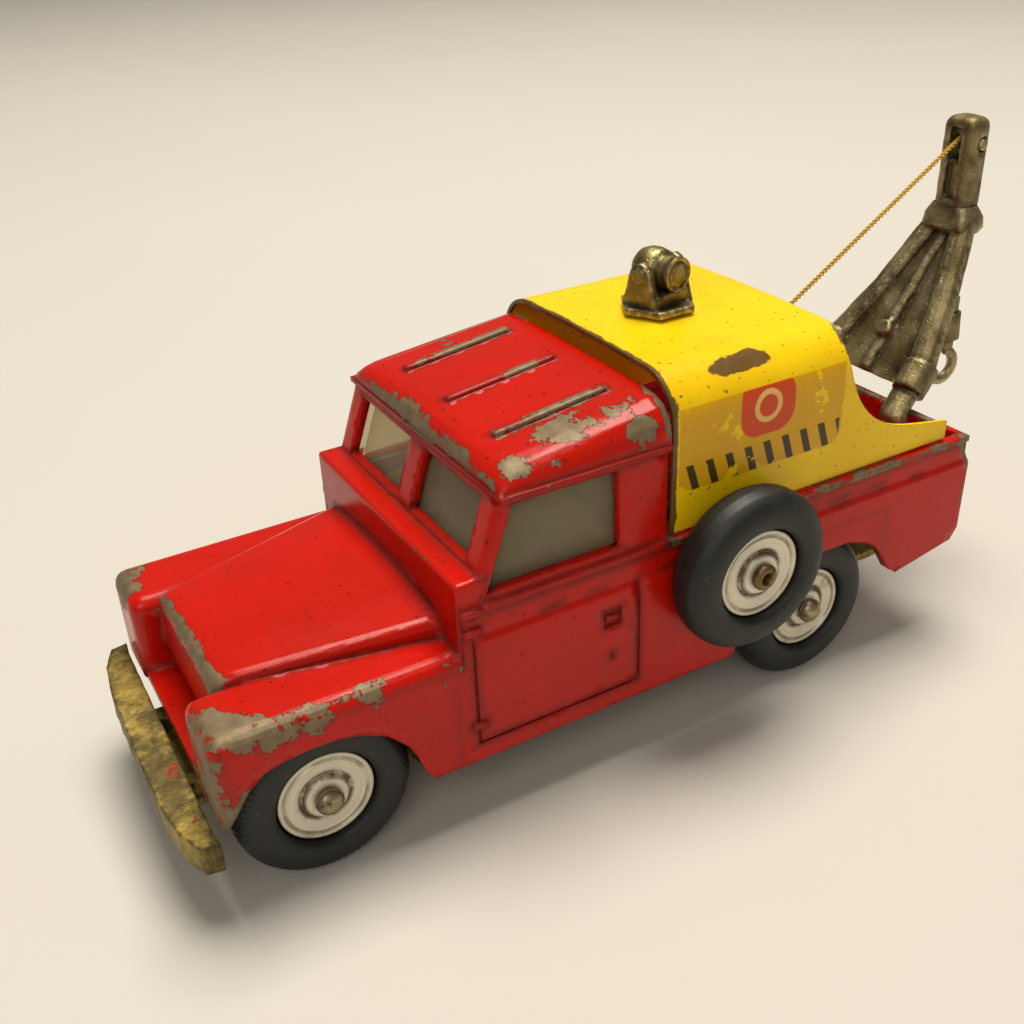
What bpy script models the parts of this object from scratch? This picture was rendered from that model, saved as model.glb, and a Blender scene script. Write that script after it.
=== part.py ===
"""Die-cast toy tow truck: utility truck body, sprung axles, tinplate canopy and hand-wound jib.

Run with: blender --background --python part.py
The truck faces -Y, its left side is +X and +Z is up. Lengths are in millimetres, and every
helper that makes a shape turns them into metres. The origin is on the ground, under the
middle of the whole model's bounding box; TRUCK_SHIFT moves the truck there.
"""
import math

import bmesh
import bpy
from mathutils import Matrix, Vector

MM = 0.001
WELD = 0.0000005
GAP = 0.3
SIDES = (("left", 1.0), ("right", -1.0))

# Whole truck
TRUCK_SHIFT = (-2.35, -14.03, 0.0)
WHEELBASE = 60.0
FRONT_AXLE_Y = -28.65
REAR_AXLE_Y = FRONT_AXLE_Y + WHEELBASE
AXLE_Z = 9.2
FRONT_SIDE_PLAY = -0.4
REAR_SIDE_PLAY = 0.4

# Body casting
BODY_HALF_WIDTH = 17.65
WALL = 1.3
SILL_Z = 7.9
SHOULDER_Z = 22.1
RAIL_Z = 25.9
NOSE_Y = -39.2
SCUTTLE_Y = -14.2
SCUTTLE_Z = 28.9
CAB_REAR_Y = 10.6
TAIL_Y = 54.5
WING_INNER_X = 9.0
WING_TOP_Z = 21.4
GRILLE_Y = -33.4
DRIP_RAIL_Z = 36.65
WINDSCREEN_FOOT_Y = -13.75
WINDSCREEN_HEAD_Y = -8.75
WINDSCREEN_FOOT_Z = 22.5
DOOR_FRONT_Y = -12.7
DOOR_REAR_Y = 6.3
DOOR_FOOT_Z = 10.05
BED_FLOOR_Z = 15.0
BED_TOP_Z = 16.5
BED_FRONT_Y = 12.0
WELL_WALL_X = 17.05
WELL_TOP_Z = 20.0
GROOVE = 0.3

# Base plate and bumper
PLATE_LOW_Z = 6.6
PLATE_TOP_Z = 7.6
BUMPER_FRONT_Y = -43.2
BUMPER_REAR_Y = -39.7
BUMPER_HALF_WIDTH = 16.4
BUMPER_LOW_Z = 7.65
BUMPER_TOP_Z = 10.95
BUMPER_LEAN = 0.075
POST_RADIUS = 1.1
POST_PLACES = ((0.0, -15.6), (0.0, 47.0))

# Wheels and axles
HUB_RADIUS = 4.95
HUB_WAIST = 4.2
HUB_FACE_X = 15.8
HUB_BORE = 1.15
TYRE_RADIUS = 9.2
TYRE_WIDTH = 5.0
TYRE_PROUD = 0.8
AXLE_RADIUS = 0.8
AXLE_HEAD_RADIUS = 1.45

# Winch and spare wheel
WINCH_Y = 18.5
WINCH_Z = 21.6
SPARE_FACE_X = 22.2
SHAFT_RADIUS = 0.85
SHAFT_HOLE = 1.15
DRUM_RADIUS = 2.1
DRUM_HALF_LENGTH = 2.6
FLANGE_RADIUS = 3.9
WINDING_RADIUS = 3.2
CORD_DIAMETER = 0.6

# Canopy
CANOPY_HALF_WIDTH = 16.8
CANOPY_FRONT_Y = 10.95
CANOPY_END_Y = 50.6
CANOPY_FOOT_Z = 26.2
CANOPY_TOP_Z = 43.4
SHEET = 0.45

# Searchlight
LAMP_Y = 21.0
LAMP_TURN = math.radians(12.0)
LAMP_PLATE_RADIUS = 4.4
LAMP_AXIS_Z = 48.0

# Jib, hook and cord
JIB_TOP_X = 2.0
JIB_TOP_Y = 66.7
JIB_TOP_Z = 45.5
JIB_KNEE_X = 8.6
JIB_KNEE_Y = 51.0
JIB_KNEE_Z = 23.6
HEAD_Y = 66.9
HEAD_HALF_DEPTH = 1.9
HEAD_HALF_WIDTH = 2.4
HEAD_TOP_Z = 58.2
PIN_Y = 67.3
PIN_Z = 55.0
PIN_RADIUS = 0.7
SLOT_HALF_WIDTH = 0.95
HOOK_EYE_Z = 35.0

LOOKS = {
    "red_enamel": ((0.62, 0.02, 0.015, 1.0), 0.32, 0.0),
    "yellow_enamel": ((0.85, 0.62, 0.02, 1.0), 0.35, 0.0),
    "yellow_plastic": ((0.78, 0.6, 0.05, 1.0), 0.45, 0.0),
    "bare_casting": ((0.42, 0.38, 0.26, 1.0), 0.45, 0.9),
    "silver_casting": ((0.5, 0.46, 0.33, 1.0), 0.38, 0.9),
    "spun_metal": ((0.8, 0.78, 0.7, 1.0), 0.3, 1.0),
    "steel": ((0.5, 0.46, 0.38, 1.0), 0.35, 1.0),
    "rubber": ((0.02, 0.022, 0.025, 1.0), 0.6, 0.0),
    "clear_plastic": ((0.6, 0.6, 0.5, 1.0), 0.1, 0.0),
    "thread": ((0.75, 0.5, 0.05, 1.0), 0.8, 0.0),
}

AXES = {
    "YZ": Matrix(((0, 0, 1, 0), (1, 0, 0, 0), (0, 1, 0, 0), (0, 0, 0, 1))),
    "XZ": Matrix(((1, 0, 0, 0), (0, 0, -1, 0), (0, 1, 0, 0), (0, 0, 0, 1))),
    "XY": Matrix.Identity(4),
}


# ---------------------------------------------------------------- scene and materials

def clear_scene():
    for old in list(bpy.data.objects):
        bpy.data.objects.remove(old, do_unlink=True)


def new_collection(name):
    collection = bpy.data.collections.new(name)
    bpy.context.scene.collection.children.link(collection)
    return collection


def make_materials():
    made = {}
    for name, (colour, roughness, metallic) in LOOKS.items():
        material = bpy.data.materials.new(name)
        material.use_nodes = True
        shader = material.node_tree.nodes["Principled BSDF"]
        shader.inputs["Base Color"].default_value = colour
        shader.inputs["Roughness"].default_value = roughness
        shader.inputs["Metallic"].default_value = metallic
        material.diffuse_color = colour
        made[name] = material
    return made


clear_scene()
PARTS = new_collection("toy_tow_truck")
CUTTERS = new_collection("toy_tow_truck_cutters")
MATERIALS = make_materials()


# ---------------------------------------------------------------- shape helpers

def metres(point):
    return Vector(point) * MM


def solid_from_bmesh(name, shape):
    bmesh.ops.recalc_face_normals(shape, faces=shape.faces)
    mesh = bpy.data.meshes.new(name)
    shape.to_mesh(mesh)
    shape.free()
    made = bpy.data.objects.new(name, mesh)
    CUTTERS.objects.link(made)
    return made


def bake(source, name):
    """Turn a curve or a modified object into a plain, welded mesh with its transform applied."""
    bpy.context.view_layer.update()
    evaluated = source.evaluated_get(bpy.context.evaluated_depsgraph_get())
    mesh = bpy.data.meshes.new_from_object(evaluated)
    shape = bmesh.new()
    shape.from_mesh(mesh)
    bmesh.ops.transform(shape, matrix=source.matrix_world, verts=shape.verts)
    bmesh.ops.remove_doubles(shape, verts=shape.verts, dist=WELD)
    bpy.data.objects.remove(source, do_unlink=True)
    bpy.data.meshes.remove(mesh)
    return solid_from_bmesh(name, shape)


def box(name, low, high):
    shape = bmesh.new()
    bmesh.ops.create_cube(shape, size=1.0)
    size = [(h - l) * MM for l, h in zip(low, high)]
    middle = [(h + l) / 2.0 * MM for l, h in zip(low, high)]
    bmesh.ops.scale(shape, vec=size, verts=shape.verts)
    bmesh.ops.translate(shape, vec=middle, verts=shape.verts)
    return solid_from_bmesh(name, shape)


def rod(name, start, end, radius, end_radius=None, sides=20):
    """A cylinder or a cone between two points."""
    a = metres(start)
    b = metres(end)
    shape = bmesh.new()
    bmesh.ops.create_cone(shape, cap_ends=True, segments=sides, radius1=radius * MM,
                          radius2=(radius if end_radius is None else end_radius) * MM,
                          depth=(b - a).length)
    turn = Vector((0.0, 0.0, 1.0)).rotation_difference(b - a).to_matrix().to_4x4()
    bmesh.ops.transform(shape, matrix=Matrix.Translation((a + b) / 2.0) @ turn, verts=shape.verts)
    return solid_from_bmesh(name, shape)


def extrude_outline(name, outline, plane, low, high):
    """A flat outline in the YZ, XZ or XY plane, extruded from low to high across it."""
    curve = bpy.data.curves.new(name, "CURVE")
    curve.dimensions = "2D"
    curve.fill_mode = "BOTH"
    curve.extrude = (high - low) / 2.0 * MM
    spline = curve.splines.new("POLY")
    spline.points.add(len(outline) - 1)
    for point, (a, b) in zip(spline.points, outline):
        point.co = (a * MM, b * MM, 0.0, 1.0)
    spline.use_cyclic_u = True
    drawn = bpy.data.objects.new(name + "_outline", curve)
    CUTTERS.objects.link(drawn)
    middle = (low + high) / 2.0 * MM
    if plane == "XZ":
        middle = -middle
    drawn.matrix_world = AXES[plane] @ Matrix.Translation((0.0, 0.0, middle))
    return bake(drawn, name)


def loft(name, rings):
    """A closed solid through rings that all have the same number of points."""
    shape = bmesh.new()
    rows = [[shape.verts.new(metres(point)) for point in ring] for ring in rings]
    count = len(rings[0])
    for low, high in zip(rows, rows[1:]):
        for i in range(count):
            j = (i + 1) % count
            shape.faces.new((low[i], low[j], high[j], high[i]))
    shape.faces.new(rows[0])
    shape.faces.new(rows[-1])
    return solid_from_bmesh(name, shape)


def turned(name, profile, centre, steps, closed=False):
    """A profile of (radius, distance along +X) points turned about an axis along X."""
    mesh = bpy.data.meshes.new(name)
    points = [(r * MM, 0.0, along * MM) for r, along in profile]
    edges = [(i, i + 1) for i in range(len(points) - 1)]
    if closed:
        edges.append((len(points) - 1, 0))
    mesh.from_pydata(points, edges, [])
    drawn = bpy.data.objects.new(name + "_profile", mesh)
    CUTTERS.objects.link(drawn)
    screw = drawn.modifiers.new("turn", "SCREW")
    screw.steps = steps
    screw.render_steps = steps
    screw.use_merge_vertices = True
    screw.merge_threshold = 0.000002
    drawn.matrix_world = Matrix.Translation(metres(centre)) @ Matrix.Rotation(math.pi / 2, 4, "Y")
    return bake(drawn, name)


def tube(name, route, radius, bevel_resolution=2):
    """A round wire or thread along a list of points."""
    curve = bpy.data.curves.new(name, "CURVE")
    curve.dimensions = "3D"
    curve.bevel_depth = radius * MM
    curve.bevel_resolution = bevel_resolution
    curve.use_fill_caps = True
    spline = curve.splines.new("POLY")
    spline.points.add(len(route) - 1)
    for point, place in zip(spline.points, route):
        point.co = (*metres(place), 1.0)
    drawn = bpy.data.objects.new(name + "_route", curve)
    CUTTERS.objects.link(drawn)
    return bake(drawn, name)


def round_edges(solid, width, segments=3, angle=35.0):
    bevel = solid.modifiers.new("round_edges", "BEVEL")
    bevel.width = width * MM
    bevel.segments = segments
    bevel.limit_method = "ANGLE"
    bevel.angle_limit = math.radians(angle)
    return solid


def combine(target, tool, operation):
    """Add or cut a tool shape, which stays in the cutters' collection as a wire guide."""
    tool.hide_render = True
    tool.display_type = "WIRE"
    modifier = target.modifiers.new(operation.lower() + "_" + tool.name, "BOOLEAN")
    modifier.operation = operation
    modifier.solver = "EXACT"
    modifier.object = tool
    return target


def add(target, *tools):
    for tool in tools:
        combine(target, tool, "UNION")
    return target


def cut(target, *tools):
    for tool in tools:
        combine(target, tool, "DIFFERENCE")
    return target


def finish(solid, material, pivot=(0.0, 0.0, 0.0), parent=None, smooth_angle=32.0):
    """Give a piece its material, its origin on its pivot and its place under a parent empty."""
    CUTTERS.objects.unlink(solid)
    PARTS.objects.link(solid)
    solid.data.materials.append(MATERIALS[material])
    if any(modifier.type == "BOOLEAN" for modifier in solid.modifiers):
        joined = solid.modifiers.new("weld_joins", "WELD")
        joined.merge_threshold = WELD
    solid.data.transform(Matrix.Translation(-metres(pivot)))
    solid.parent = parent
    solid.location = metres(pivot)
    solid.data.shade_smooth()
    solid.data.set_sharp_from_angle(angle=math.radians(smooth_angle))
    return solid


def mirrored(points):
    """Points of a right-hand half outline, followed by the same points mirrored in X."""
    return list(points) + [(-x, z) for x, z in reversed(points)]


def rounded_rectangle(low_x, high_x, low_y, high_y, radius, steps=3):
    corners = ((high_x - radius, high_y - radius, 0), (low_x + radius, high_y - radius, 90),
               (low_x + radius, low_y + radius, 180), (high_x - radius, low_y + radius, 270))
    points = []
    for x, y, start in corners:
        for step in range(steps + 1):
            angle = math.radians(start + 90.0 * step / steps)
            points.append((x + radius * math.cos(angle), y + radius * math.sin(angle)))
    return points


# ---------------------------------------------------------------- body casting

def side_section():
    """The body's cross-section: upright flank, shoulder, sunk band and top rail."""
    half = [(BODY_HALF_WIDTH, 4.0), (BODY_HALF_WIDTH, SHOULDER_Z), (BODY_HALF_WIDTH - 0.3, SHOULDER_Z + 0.7),
            (BODY_HALF_WIDTH - 0.35, RAIL_Z - 0.9), (BODY_HALF_WIDTH - 0.05, RAIL_Z - 0.7),
            (BODY_HALF_WIDTH - 0.05, RAIL_Z)]
    return mirrored(half)


def flank_profile():
    """The lower body seen from the side, without the wheel arches."""
    return [(SCUTTLE_Y + 0.3, 5.0), (43.8, 5.0), (43.8, 10.04), (53.4, 11.8), (TAIL_Y - 0.1, 13.3),
            (TAIL_Y, 22.6), (TAIL_Y - 0.5, 23.6), (TAIL_Y - 0.5, RAIL_Z + 1.0), (SCUTTLE_Y + 0.3, RAIL_Z + 1.0)]


def front_arch():
    return [(-40.5, 0.0), (-40.5, 10.8), (-38.9, 11.3), (-37.3, 13.8), (-36.2, 15.4), (-34.6, 16.7),
            (-32.3, 17.2), (-30.2, 17.4), (-27.2, 17.3), (-25.2, 16.8), (-22.5, 15.4), (-20.5, 13.2),
            (-19.7, 11.5), (-18.9, 9.2), (-17.9, SILL_Z - 0.1), (-17.9, 0.0)]


def rear_arch():
    return [(19.6, 0.0), (19.6, SILL_Z - 0.1), (20.4, 11.0), (21.6, 13.6), (23.3, 15.5), (26.0, 16.9),
            (29.0, 17.3), (35.8, 17.2), (38.8, 16.2), (40.5, 15.1), (41.9, 13.2), (43.2, 11.0),
            (44.4, 10.3), (44.4, 0.0)]


def cab_upper(inset, top_z):
    """The cab from its waist to the drip rail, leaning in; inset shrinks it for the inside."""
    rings = []
    for z, half, front in ((WINDSCREEN_FOOT_Z, 17.2, WINDSCREEN_FOOT_Y), (DRIP_RAIL_Z, 17.0, WINDSCREEN_HEAD_Y)):
        outline = rounded_rectangle(-half + inset, half - inset, front + inset, CAB_REAR_Y - inset, 1.0)
        rings.append([(x, y, z) for x, y in outline])
    if top_z < DRIP_RAIL_Z:
        share = (top_z - WINDSCREEN_FOOT_Z) / (DRIP_RAIL_Z - WINDSCREEN_FOOT_Z)
        rings[1] = [tuple(a + (b - a) * share for a, b in zip(low, high)) for low, high in zip(*rings)]
    return rings


def roof_ring(y, half, foot_z, top_z):
    rise = top_z - foot_z
    half_outline = [(half, foot_z), (half - 0.1, foot_z + 0.3 * rise), (half - 0.55, foot_z + 0.6 * rise),
                    (half - 1.5, foot_z + 0.84 * rise), (half - 3.0, foot_z + 0.96 * rise),
                    (half - 5.5, top_z), (half * 0.35, top_z + 0.12)]
    return [(x, y, z) for x, z in mirrored(half_outline)]


def roof_shape(name, inset):
    stations = ((-8.85, 37.3), (-8.4, 38.1), (-7.7, 38.7), (-6.4, 39.1), (CAB_REAR_Y - 0.1, 41.3))
    foot_z = DRIP_RAIL_Z - 0.3
    rings = []
    for y, top_z in stations:
        rings.append(roof_ring(y + (inset if y < 0 else -inset), 17.15 - inset, foot_z - inset, top_z - inset))
    return loft(name, rings)


def bonnet_ring(y, half, edge_z, crown):
    half_outline = [(half, 15.0), (half, edge_z - 0.9), (half - 0.25, edge_z - 0.3), (half - 0.9, edge_z),
                    (half * 0.55, edge_z + 0.7 * crown), (half * 0.18, edge_z + crown)]
    return [(x, y, z) for x, z in mirrored(half_outline)]


def make_bonnet():
    rings = [bonnet_ring(-36.3, 9.0, 21.1, 0.1), bonnet_ring(-35.9, 9.15, 21.8, 0.3),
             bonnet_ring(-34.8, 9.45, 22.1, 0.45), bonnet_ring(SCUTTLE_Y + 0.8, 14.0, 23.7, 0.9)]
    return loft("bonnet_form", rings)


def make_wing(side_name, side):
    low_x, high_x = sorted((side * WING_INNER_X, side * BODY_HALF_WIDTH))
    wing = box("wing_form_" + side_name, (low_x, NOSE_Y, 5.0), (high_x, SCUTTLE_Y + 3.0, WING_TOP_Z))
    return round_edges(wing, 1.5, segments=4)


def make_side_details(body, side_name, side):
    """Door grooves, handle recess, hinges and the grooves of the load bed on one side."""
    face = BODY_HALF_WIDTH

    def panel_cut(label, y0, y1, z0, z1, depth):
        low_x, high_x = sorted((side * (face - depth), side * (face + 2.0)))
        cut(body, box(f"{label}_{side_name}", (low_x, y0, z0), (high_x, y1, z1)))

    def panel_bump(label, y0, y1, z0, z1, inner, outer):
        low_x, high_x = sorted((side * inner, side * outer))
        add(body, box(f"{label}_{side_name}", (low_x, y0, z0), (high_x, y1, z1)))

    panel_cut("door_front_groove", DOOR_FRONT_Y - GROOVE, DOOR_FRONT_Y, DOOR_FOOT_Z, 24.6, GROOVE)
    panel_cut("door_rear_groove", DOOR_REAR_Y, DOOR_REAR_Y + GROOVE, DOOR_FOOT_Z, 24.9, GROOVE)
    panel_cut("door_foot_groove", DOOR_FRONT_Y - 0.1, DOOR_REAR_Y + 0.1, DOOR_FOOT_Z - 0.1, DOOR_FOOT_Z + 0.2, GROOVE)
    panel_cut("handle_recess", 2.1, 4.3, 18.2, 20.3, 0.4)
    panel_cut("keyhole", 2.9, 3.3, 14.2, 14.8, 0.35)
    panel_bump("handle_lever", 2.4, 4.0, 18.9, 19.5, face - 1.0, face - 0.05)
    panel_bump("upper_hinge", -13.9, -11.9, 23.2, 23.9, face - 1.0, face + 0.15)
    panel_bump("lower_hinge", -13.6, -11.9, 12.0, 12.7, face - 1.0, face + 0.3)
    panel_bump("waist_rail", -11.6, CAB_REAR_Y - 0.4, 25.4, 26.1, face - 1.2, face)


def make_body():
    body = extrude_outline("body_shell", side_section(), "XZ", SCUTTLE_Y - 1.0, TAIL_Y + 1.0)
    combine(body, extrude_outline("flank_form", flank_profile(), "YZ", -30.0, 30.0), "INTERSECT")
    add(body, make_bonnet())
    for side_name, side in SIDES:
        add(body, make_wing(side_name, side))
    scuttle = box("scuttle_form", (-17.1, SCUTTLE_Y, 12.0), (17.1, -9.0, SCUTTLE_Z))
    add(body, round_edges(scuttle, 0.45))
    add(body, loft("cab_form", cab_upper(0.0, DRIP_RAIL_Z)))
    add(body, box("drip_rail_form", (-17.5, -9.0, 36.2), (17.5, CAB_REAR_Y - 0.25, 36.75)))
    add(body, roof_shape("roof_form", 0.0))
    add(body, box("grille_form", (-10.0, GRILLE_Y, 9.5), (10.0, GRILLE_Y + 3.0, 21.3)))
    make_hollows(body)
    make_windows(body)
    make_roof_ribs(body)
    make_grille(body)
    add(body, box("front_apron", (-9.7, NOSE_Y + 0.2, 11.6), (9.7, GRILLE_Y + 0.8, 12.8)))
    for side_name, side in SIDES:
        make_side_details(body, side_name, side)
        make_wheel_box(body, side_name, side)
    make_posts(body)
    cut(body, rod("winch_shaft_hole", (-25.0, WINCH_Y, WINCH_Z), (25.0, WINCH_Y, WINCH_Z), SHAFT_HOLE))
    for side in (-1.0, 1.0):
        x = side * JIB_KNEE_X
        cut(body, box(f"jib_foot_hole_{side:+.0f}", (x - 2.2, JIB_KNEE_Y - 1.9, 13.0), (x + 2.2, JIB_KNEE_Y + 1.9, 18.0)))
    return finish(body, "red_enamel", parent=TRUCK)


def make_hollows(body):
    """Everything that is cut out of the underside and out of the open load bed."""
    inner = BODY_HALF_WIDTH - WALL
    for side_name, side in SIDES:
        low_x, high_x = sorted((side * (WING_INNER_X + WALL), side * 30.0))
        cut(body, extrude_outline("front_arch_cut_" + side_name, front_arch(), "YZ", low_x, high_x))
        cut(body, extrude_outline("rear_arch_cut_" + side_name, rear_arch(), "YZ", low_x, high_x))
    cut(body, box("nose_foot_cut", (-30.0, -45.0, -5.0), (30.0, GRILLE_Y + 2.6, 11.5)))
    cut(body, box("sill_cut", (-30.0, -45.0, -5.0), (30.0, 44.5, SILL_Z)))
    for side_name, side in SIDES:
        low_x, high_x = sorted((side * (WING_INNER_X + WALL), side * WELL_WALL_X))
        cut(body, box("wing_hollow_" + side_name, (low_x, NOSE_Y + WALL, 0.0), (high_x, SCUTTLE_Y - 0.8, 19.9)))
    cut(body, box("engine_hollow", (-11.0, GRILLE_Y + 1.5, 0.0), (11.0, SCUTTLE_Y - 0.8, 20.1)))
    cut(body, box("cab_hollow", (-inner, -12.5, 0.0), (inner, CAB_REAR_Y - WALL, 24.5)))
    cut(body, loft("cab_upper_hollow", cab_upper(1.1, DRIP_RAIL_Z)))
    cut(body, box("roof_hollow", (-14.0, -5.8, 35.0), (14.0, CAB_REAR_Y - 1.2, 38.0)))
    cut(body, box("under_bed_hollow", (-inner, 10.8, 0.0), (inner, TAIL_Y - WALL, BED_FLOOR_Z)))
    cut(body, box("bed_hollow", (-inner, BED_FRONT_Y, BED_TOP_Z), (inner, TAIL_Y - WALL, 30.0)))


def make_wheel_box(body, side_name, side):
    """The box over one rear wheel: a raised cover in the load bed with the wheel space inside."""
    low_x, high_x = sorted((side * 9.8, side * (BODY_HALF_WIDTH - 0.9)))
    add(body, box("wheel_box_" + side_name, (low_x, 20.0, BED_FLOOR_Z + 0.4), (high_x, 42.6, WELL_TOP_Z + 1.0)))
    low_x, high_x = sorted((side * 10.8, side * WELL_WALL_X))
    cut(body, box("wheel_space_" + side_name, (low_x, 21.0, 0.0), (high_x, 41.6, WELL_TOP_Z)))


def make_windows(body):
    for side_name, side in SIDES:
        pane = [(side * 1.5, 29.1), (side * 14.0, 29.1), (side * 13.8, 35.6), (side * 1.5, 35.6)]
        cut(body, extrude_outline("windscreen_" + side_name, pane, "XZ", -16.0, -4.0))
    door_glass = [(-10.9, 27.0), (-7.7, 35.7), (4.3, 35.7), (4.4, 27.0)]
    cut(body, extrude_outline("door_windows", door_glass, "YZ", -30.0, 30.0))
    cut(body, box("rear_window", (-10.0, 4.0, 29.0), (10.0, 20.0, 35.2)))


def make_roof_ribs(body):
    slope = math.atan2(41.3 - 39.1, CAB_REAR_Y + 6.4)
    for number, x in enumerate((-9.9, 0.0, 9.9)):
        rib = box(f"roof_rib_{number}", (-0.55, -6.6, -0.6), (0.55, 6.6, 0.42))
        round_edges(rib, 0.3, segments=2)
        rib.matrix_world = (Matrix.Translation(metres((x, 1.0, 40.2))) @ Matrix.Rotation(slope, 4, "X"))
        add(body, rib)


def make_grille(body):
    """Upright grille bars between the wings and two round lamp housings."""
    for number in range(7):
        x = -3.0 + number
        add(body, box(f"grille_bar_{number}", (x - 0.22, GRILLE_Y - 0.4, 11.2), (x + 0.22, GRILLE_Y + 0.4, 19.6)))
    for side_name, side in SIDES:
        add(body, rod("lamp_housing_" + side_name, (side * 6.2, GRILLE_Y + 0.5, 18.3),
                      (side * 6.2, GRILLE_Y - 1.1, 18.3), 2.3, 2.0, sides=24))


def make_posts(body):
    """Posts that hold the base plate, peened over below it."""
    for number, (x, y) in enumerate(POST_PLACES):
        top = 21.0 if y < 0 else BED_TOP_Z - 0.2
        add(body, rod(f"post_{number}", (x, y, PLATE_LOW_Z - 0.9), (x, y, top), POST_RADIUS))
        add(body, rod(f"post_head_{number}", (x, y, PLATE_LOW_Z - 1.1), (x, y, PLATE_LOW_Z - GAP), 1.5, 2.1))


# ---------------------------------------------------------------- base plate

def plate_outline():
    half = [(7.0, -40.9), (7.0, -38.5), (9.6, -37.5), (9.6, -18.6), (15.6, -17.4), (15.6, 19.0),
            (9.4, 20.4), (9.4, 51.5)]
    return mirrored(half)


def bumper_outline():
    half = [(0.0, BUMPER_FRONT_Y), (9.0, BUMPER_FRONT_Y + 0.1), (13.5, BUMPER_FRONT_Y + 0.7),
            (BUMPER_HALF_WIDTH, BUMPER_FRONT_Y + 1.9), (BUMPER_HALF_WIDTH + 0.2, BUMPER_REAR_Y + 0.2),
            (15.0, BUMPER_REAR_Y), (0.0, BUMPER_REAR_Y)]
    return half[:-1] + [(-x, y) for x, y in reversed(half)][:-1]


def make_base_plate():
    plate = extrude_outline("base_plate", plate_outline(), "XY", PLATE_LOW_Z, PLATE_TOP_Z)
    bumper = extrude_outline("bumper_form", bumper_outline(), "XY", BUMPER_LOW_Z, BUMPER_TOP_Z)
    for vertex in bumper.data.vertices:
        vertex.co.z -= BUMPER_LEAN * vertex.co.x
    add(plate, round_edges(bumper, 0.4, segments=2))
    for side_name, side in SIDES:
        low_x, high_x = sorted((side * 4.6, side * 6.8))
        add(plate, box("dumb_iron_" + side_name, (low_x, -41.2, PLATE_LOW_Z + 0.1), (high_x, -37.2, 9.4)))
        for label, axle_y, play in (("front", FRONT_AXLE_Y, 0.0), ("rear", REAR_AXLE_Y, 0.0)):
            for end in (-1.0, 1.0):
                low_y, high_y = sorted((axle_y + end * 1.15, axle_y + end * 2.1))
                low_x, high_x = sorted((side * 6.6, side * 7.8))
                add(plate, box(f"{label}_axle_guide_{side_name}_{end:+.0f}",
                               (low_x, low_y, PLATE_TOP_Z - 0.4), (high_x, high_y, 12.4)))
    add(plate, box("gearbox_form", (-3.0, -12.0, 5.4), (3.0, -2.0, PLATE_LOW_Z + 0.3)))
    add(plate, rod("propshaft_form", (0.0, -3.0, 6.3), (0.0, 27.0, 6.3), 0.9))
    add(plate, rod("exhaust_form", (8.2, -14.0, 6.4), (8.2, 16.0, 6.4), 0.8))
    add(plate, rod("silencer_form", (8.2, -2.0, 6.3), (8.2, 8.0, 6.3), 1.7))
    for label, axle_y in (("front", FRONT_AXLE_Y), ("rear", REAR_AXLE_Y)):
        bulge = turned(label + "_diff_form", [(0.0, -3.2), (2.0, -2.4), (3.1, 0.0), (2.0, 2.4), (0.0, 3.2)],
                       (2.0 if label == "front" else 0.0, axle_y, 6.3), 16)
        add(plate, bulge)
        cut(plate, box(label + "_diff_trim", (-5.6, axle_y - 6.0, PLATE_TOP_Z), (5.6, axle_y + 6.0, 10.0)))
    for number, (x, y) in enumerate(POST_PLACES):
        cut(plate, rod(f"plate_hole_{number}", (x, y, 3.0), (x, y, 12.0), POST_RADIUS + GAP))
    return finish(plate, "bare_casting", parent=TRUCK)


# ---------------------------------------------------------------- cab fittings

def make_glazing():
    glazing = loft("window_glazing", cab_upper(1.1 + GAP, 36.2))
    cut(glazing, loft("glazing_hollow", cab_upper(1.9 + GAP, 35.6)))
    cut(glazing, box("glazing_foot_cut", (-20.0, -20.0, 20.0), (20.0, 20.0, 26.7)))
    return finish(glazing, "clear_plastic", parent=TRUCK)


def make_interior():
    """One moulding: floor, side walls, bench seat and dashboard."""
    inner = BODY_HALF_WIDTH - WALL - GAP
    tub = box("cab_interior", (-inner, -12.2, 10.4), (inner, CAB_REAR_Y - WALL - GAP, 24.2))
    cut(tub, box("interior_hollow", (-inner + 0.9, -9.4, 11.4), (inner - 0.9, CAB_REAR_Y - WALL - 1.3, 30.0)))
    add(tub, box("dash_top", (-13.6, -10.9, 23.0), (13.6, -8.3, 26.4)))
    add(tub, round_edges(box("seat_cushion", (-13.8, 0.2, 11.0), (13.8, 7.9, 17.4)), 0.8))
    add(tub, round_edges(box("seat_back", (-13.8, 5.6, 11.0), (13.8, 8.4, 25.6)), 0.8))
    return finish(tub, "yellow_plastic", parent=TRUCK)


def make_steering_wheel():
    """Rim, three spokes and column, on the right-hand side of the cab."""
    wheel = turned("steering_wheel", [(2.6 + 0.35 * math.cos(a), 0.35 * math.sin(a))
                                      for a in [math.tau * i / 8 for i in range(8)]], (0.0, 0.0, 0.0), 24, closed=True)
    add(wheel, rod("column_form", (-3.4, 0.0, 0.0), (0.3, 0.0, 0.0), 0.55, sides=12))
    for number in range(3):
        angle = math.tau * number / 3
        tip = (0.0, 2.6 * math.cos(angle), 2.6 * math.sin(angle))
        add(wheel, rod(f"spoke_{number}", (0.0, 0.0, 0.0), tip, 0.3, sides=8))
    wheel = bake(wheel, "steering_wheel")
    tilt = math.radians(35.0)
    turn = Matrix.Rotation(math.pi / 2, 4, "Z") @ Matrix.Rotation(tilt, 4, "Y")
    wheel.data.transform(Matrix.Translation(metres((-7.0, -4.6, 21.6))) @ turn)
    return finish(wheel, "rubber", parent=TRUCK)


# ---------------------------------------------------------------- wheels, axles and springs

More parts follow.
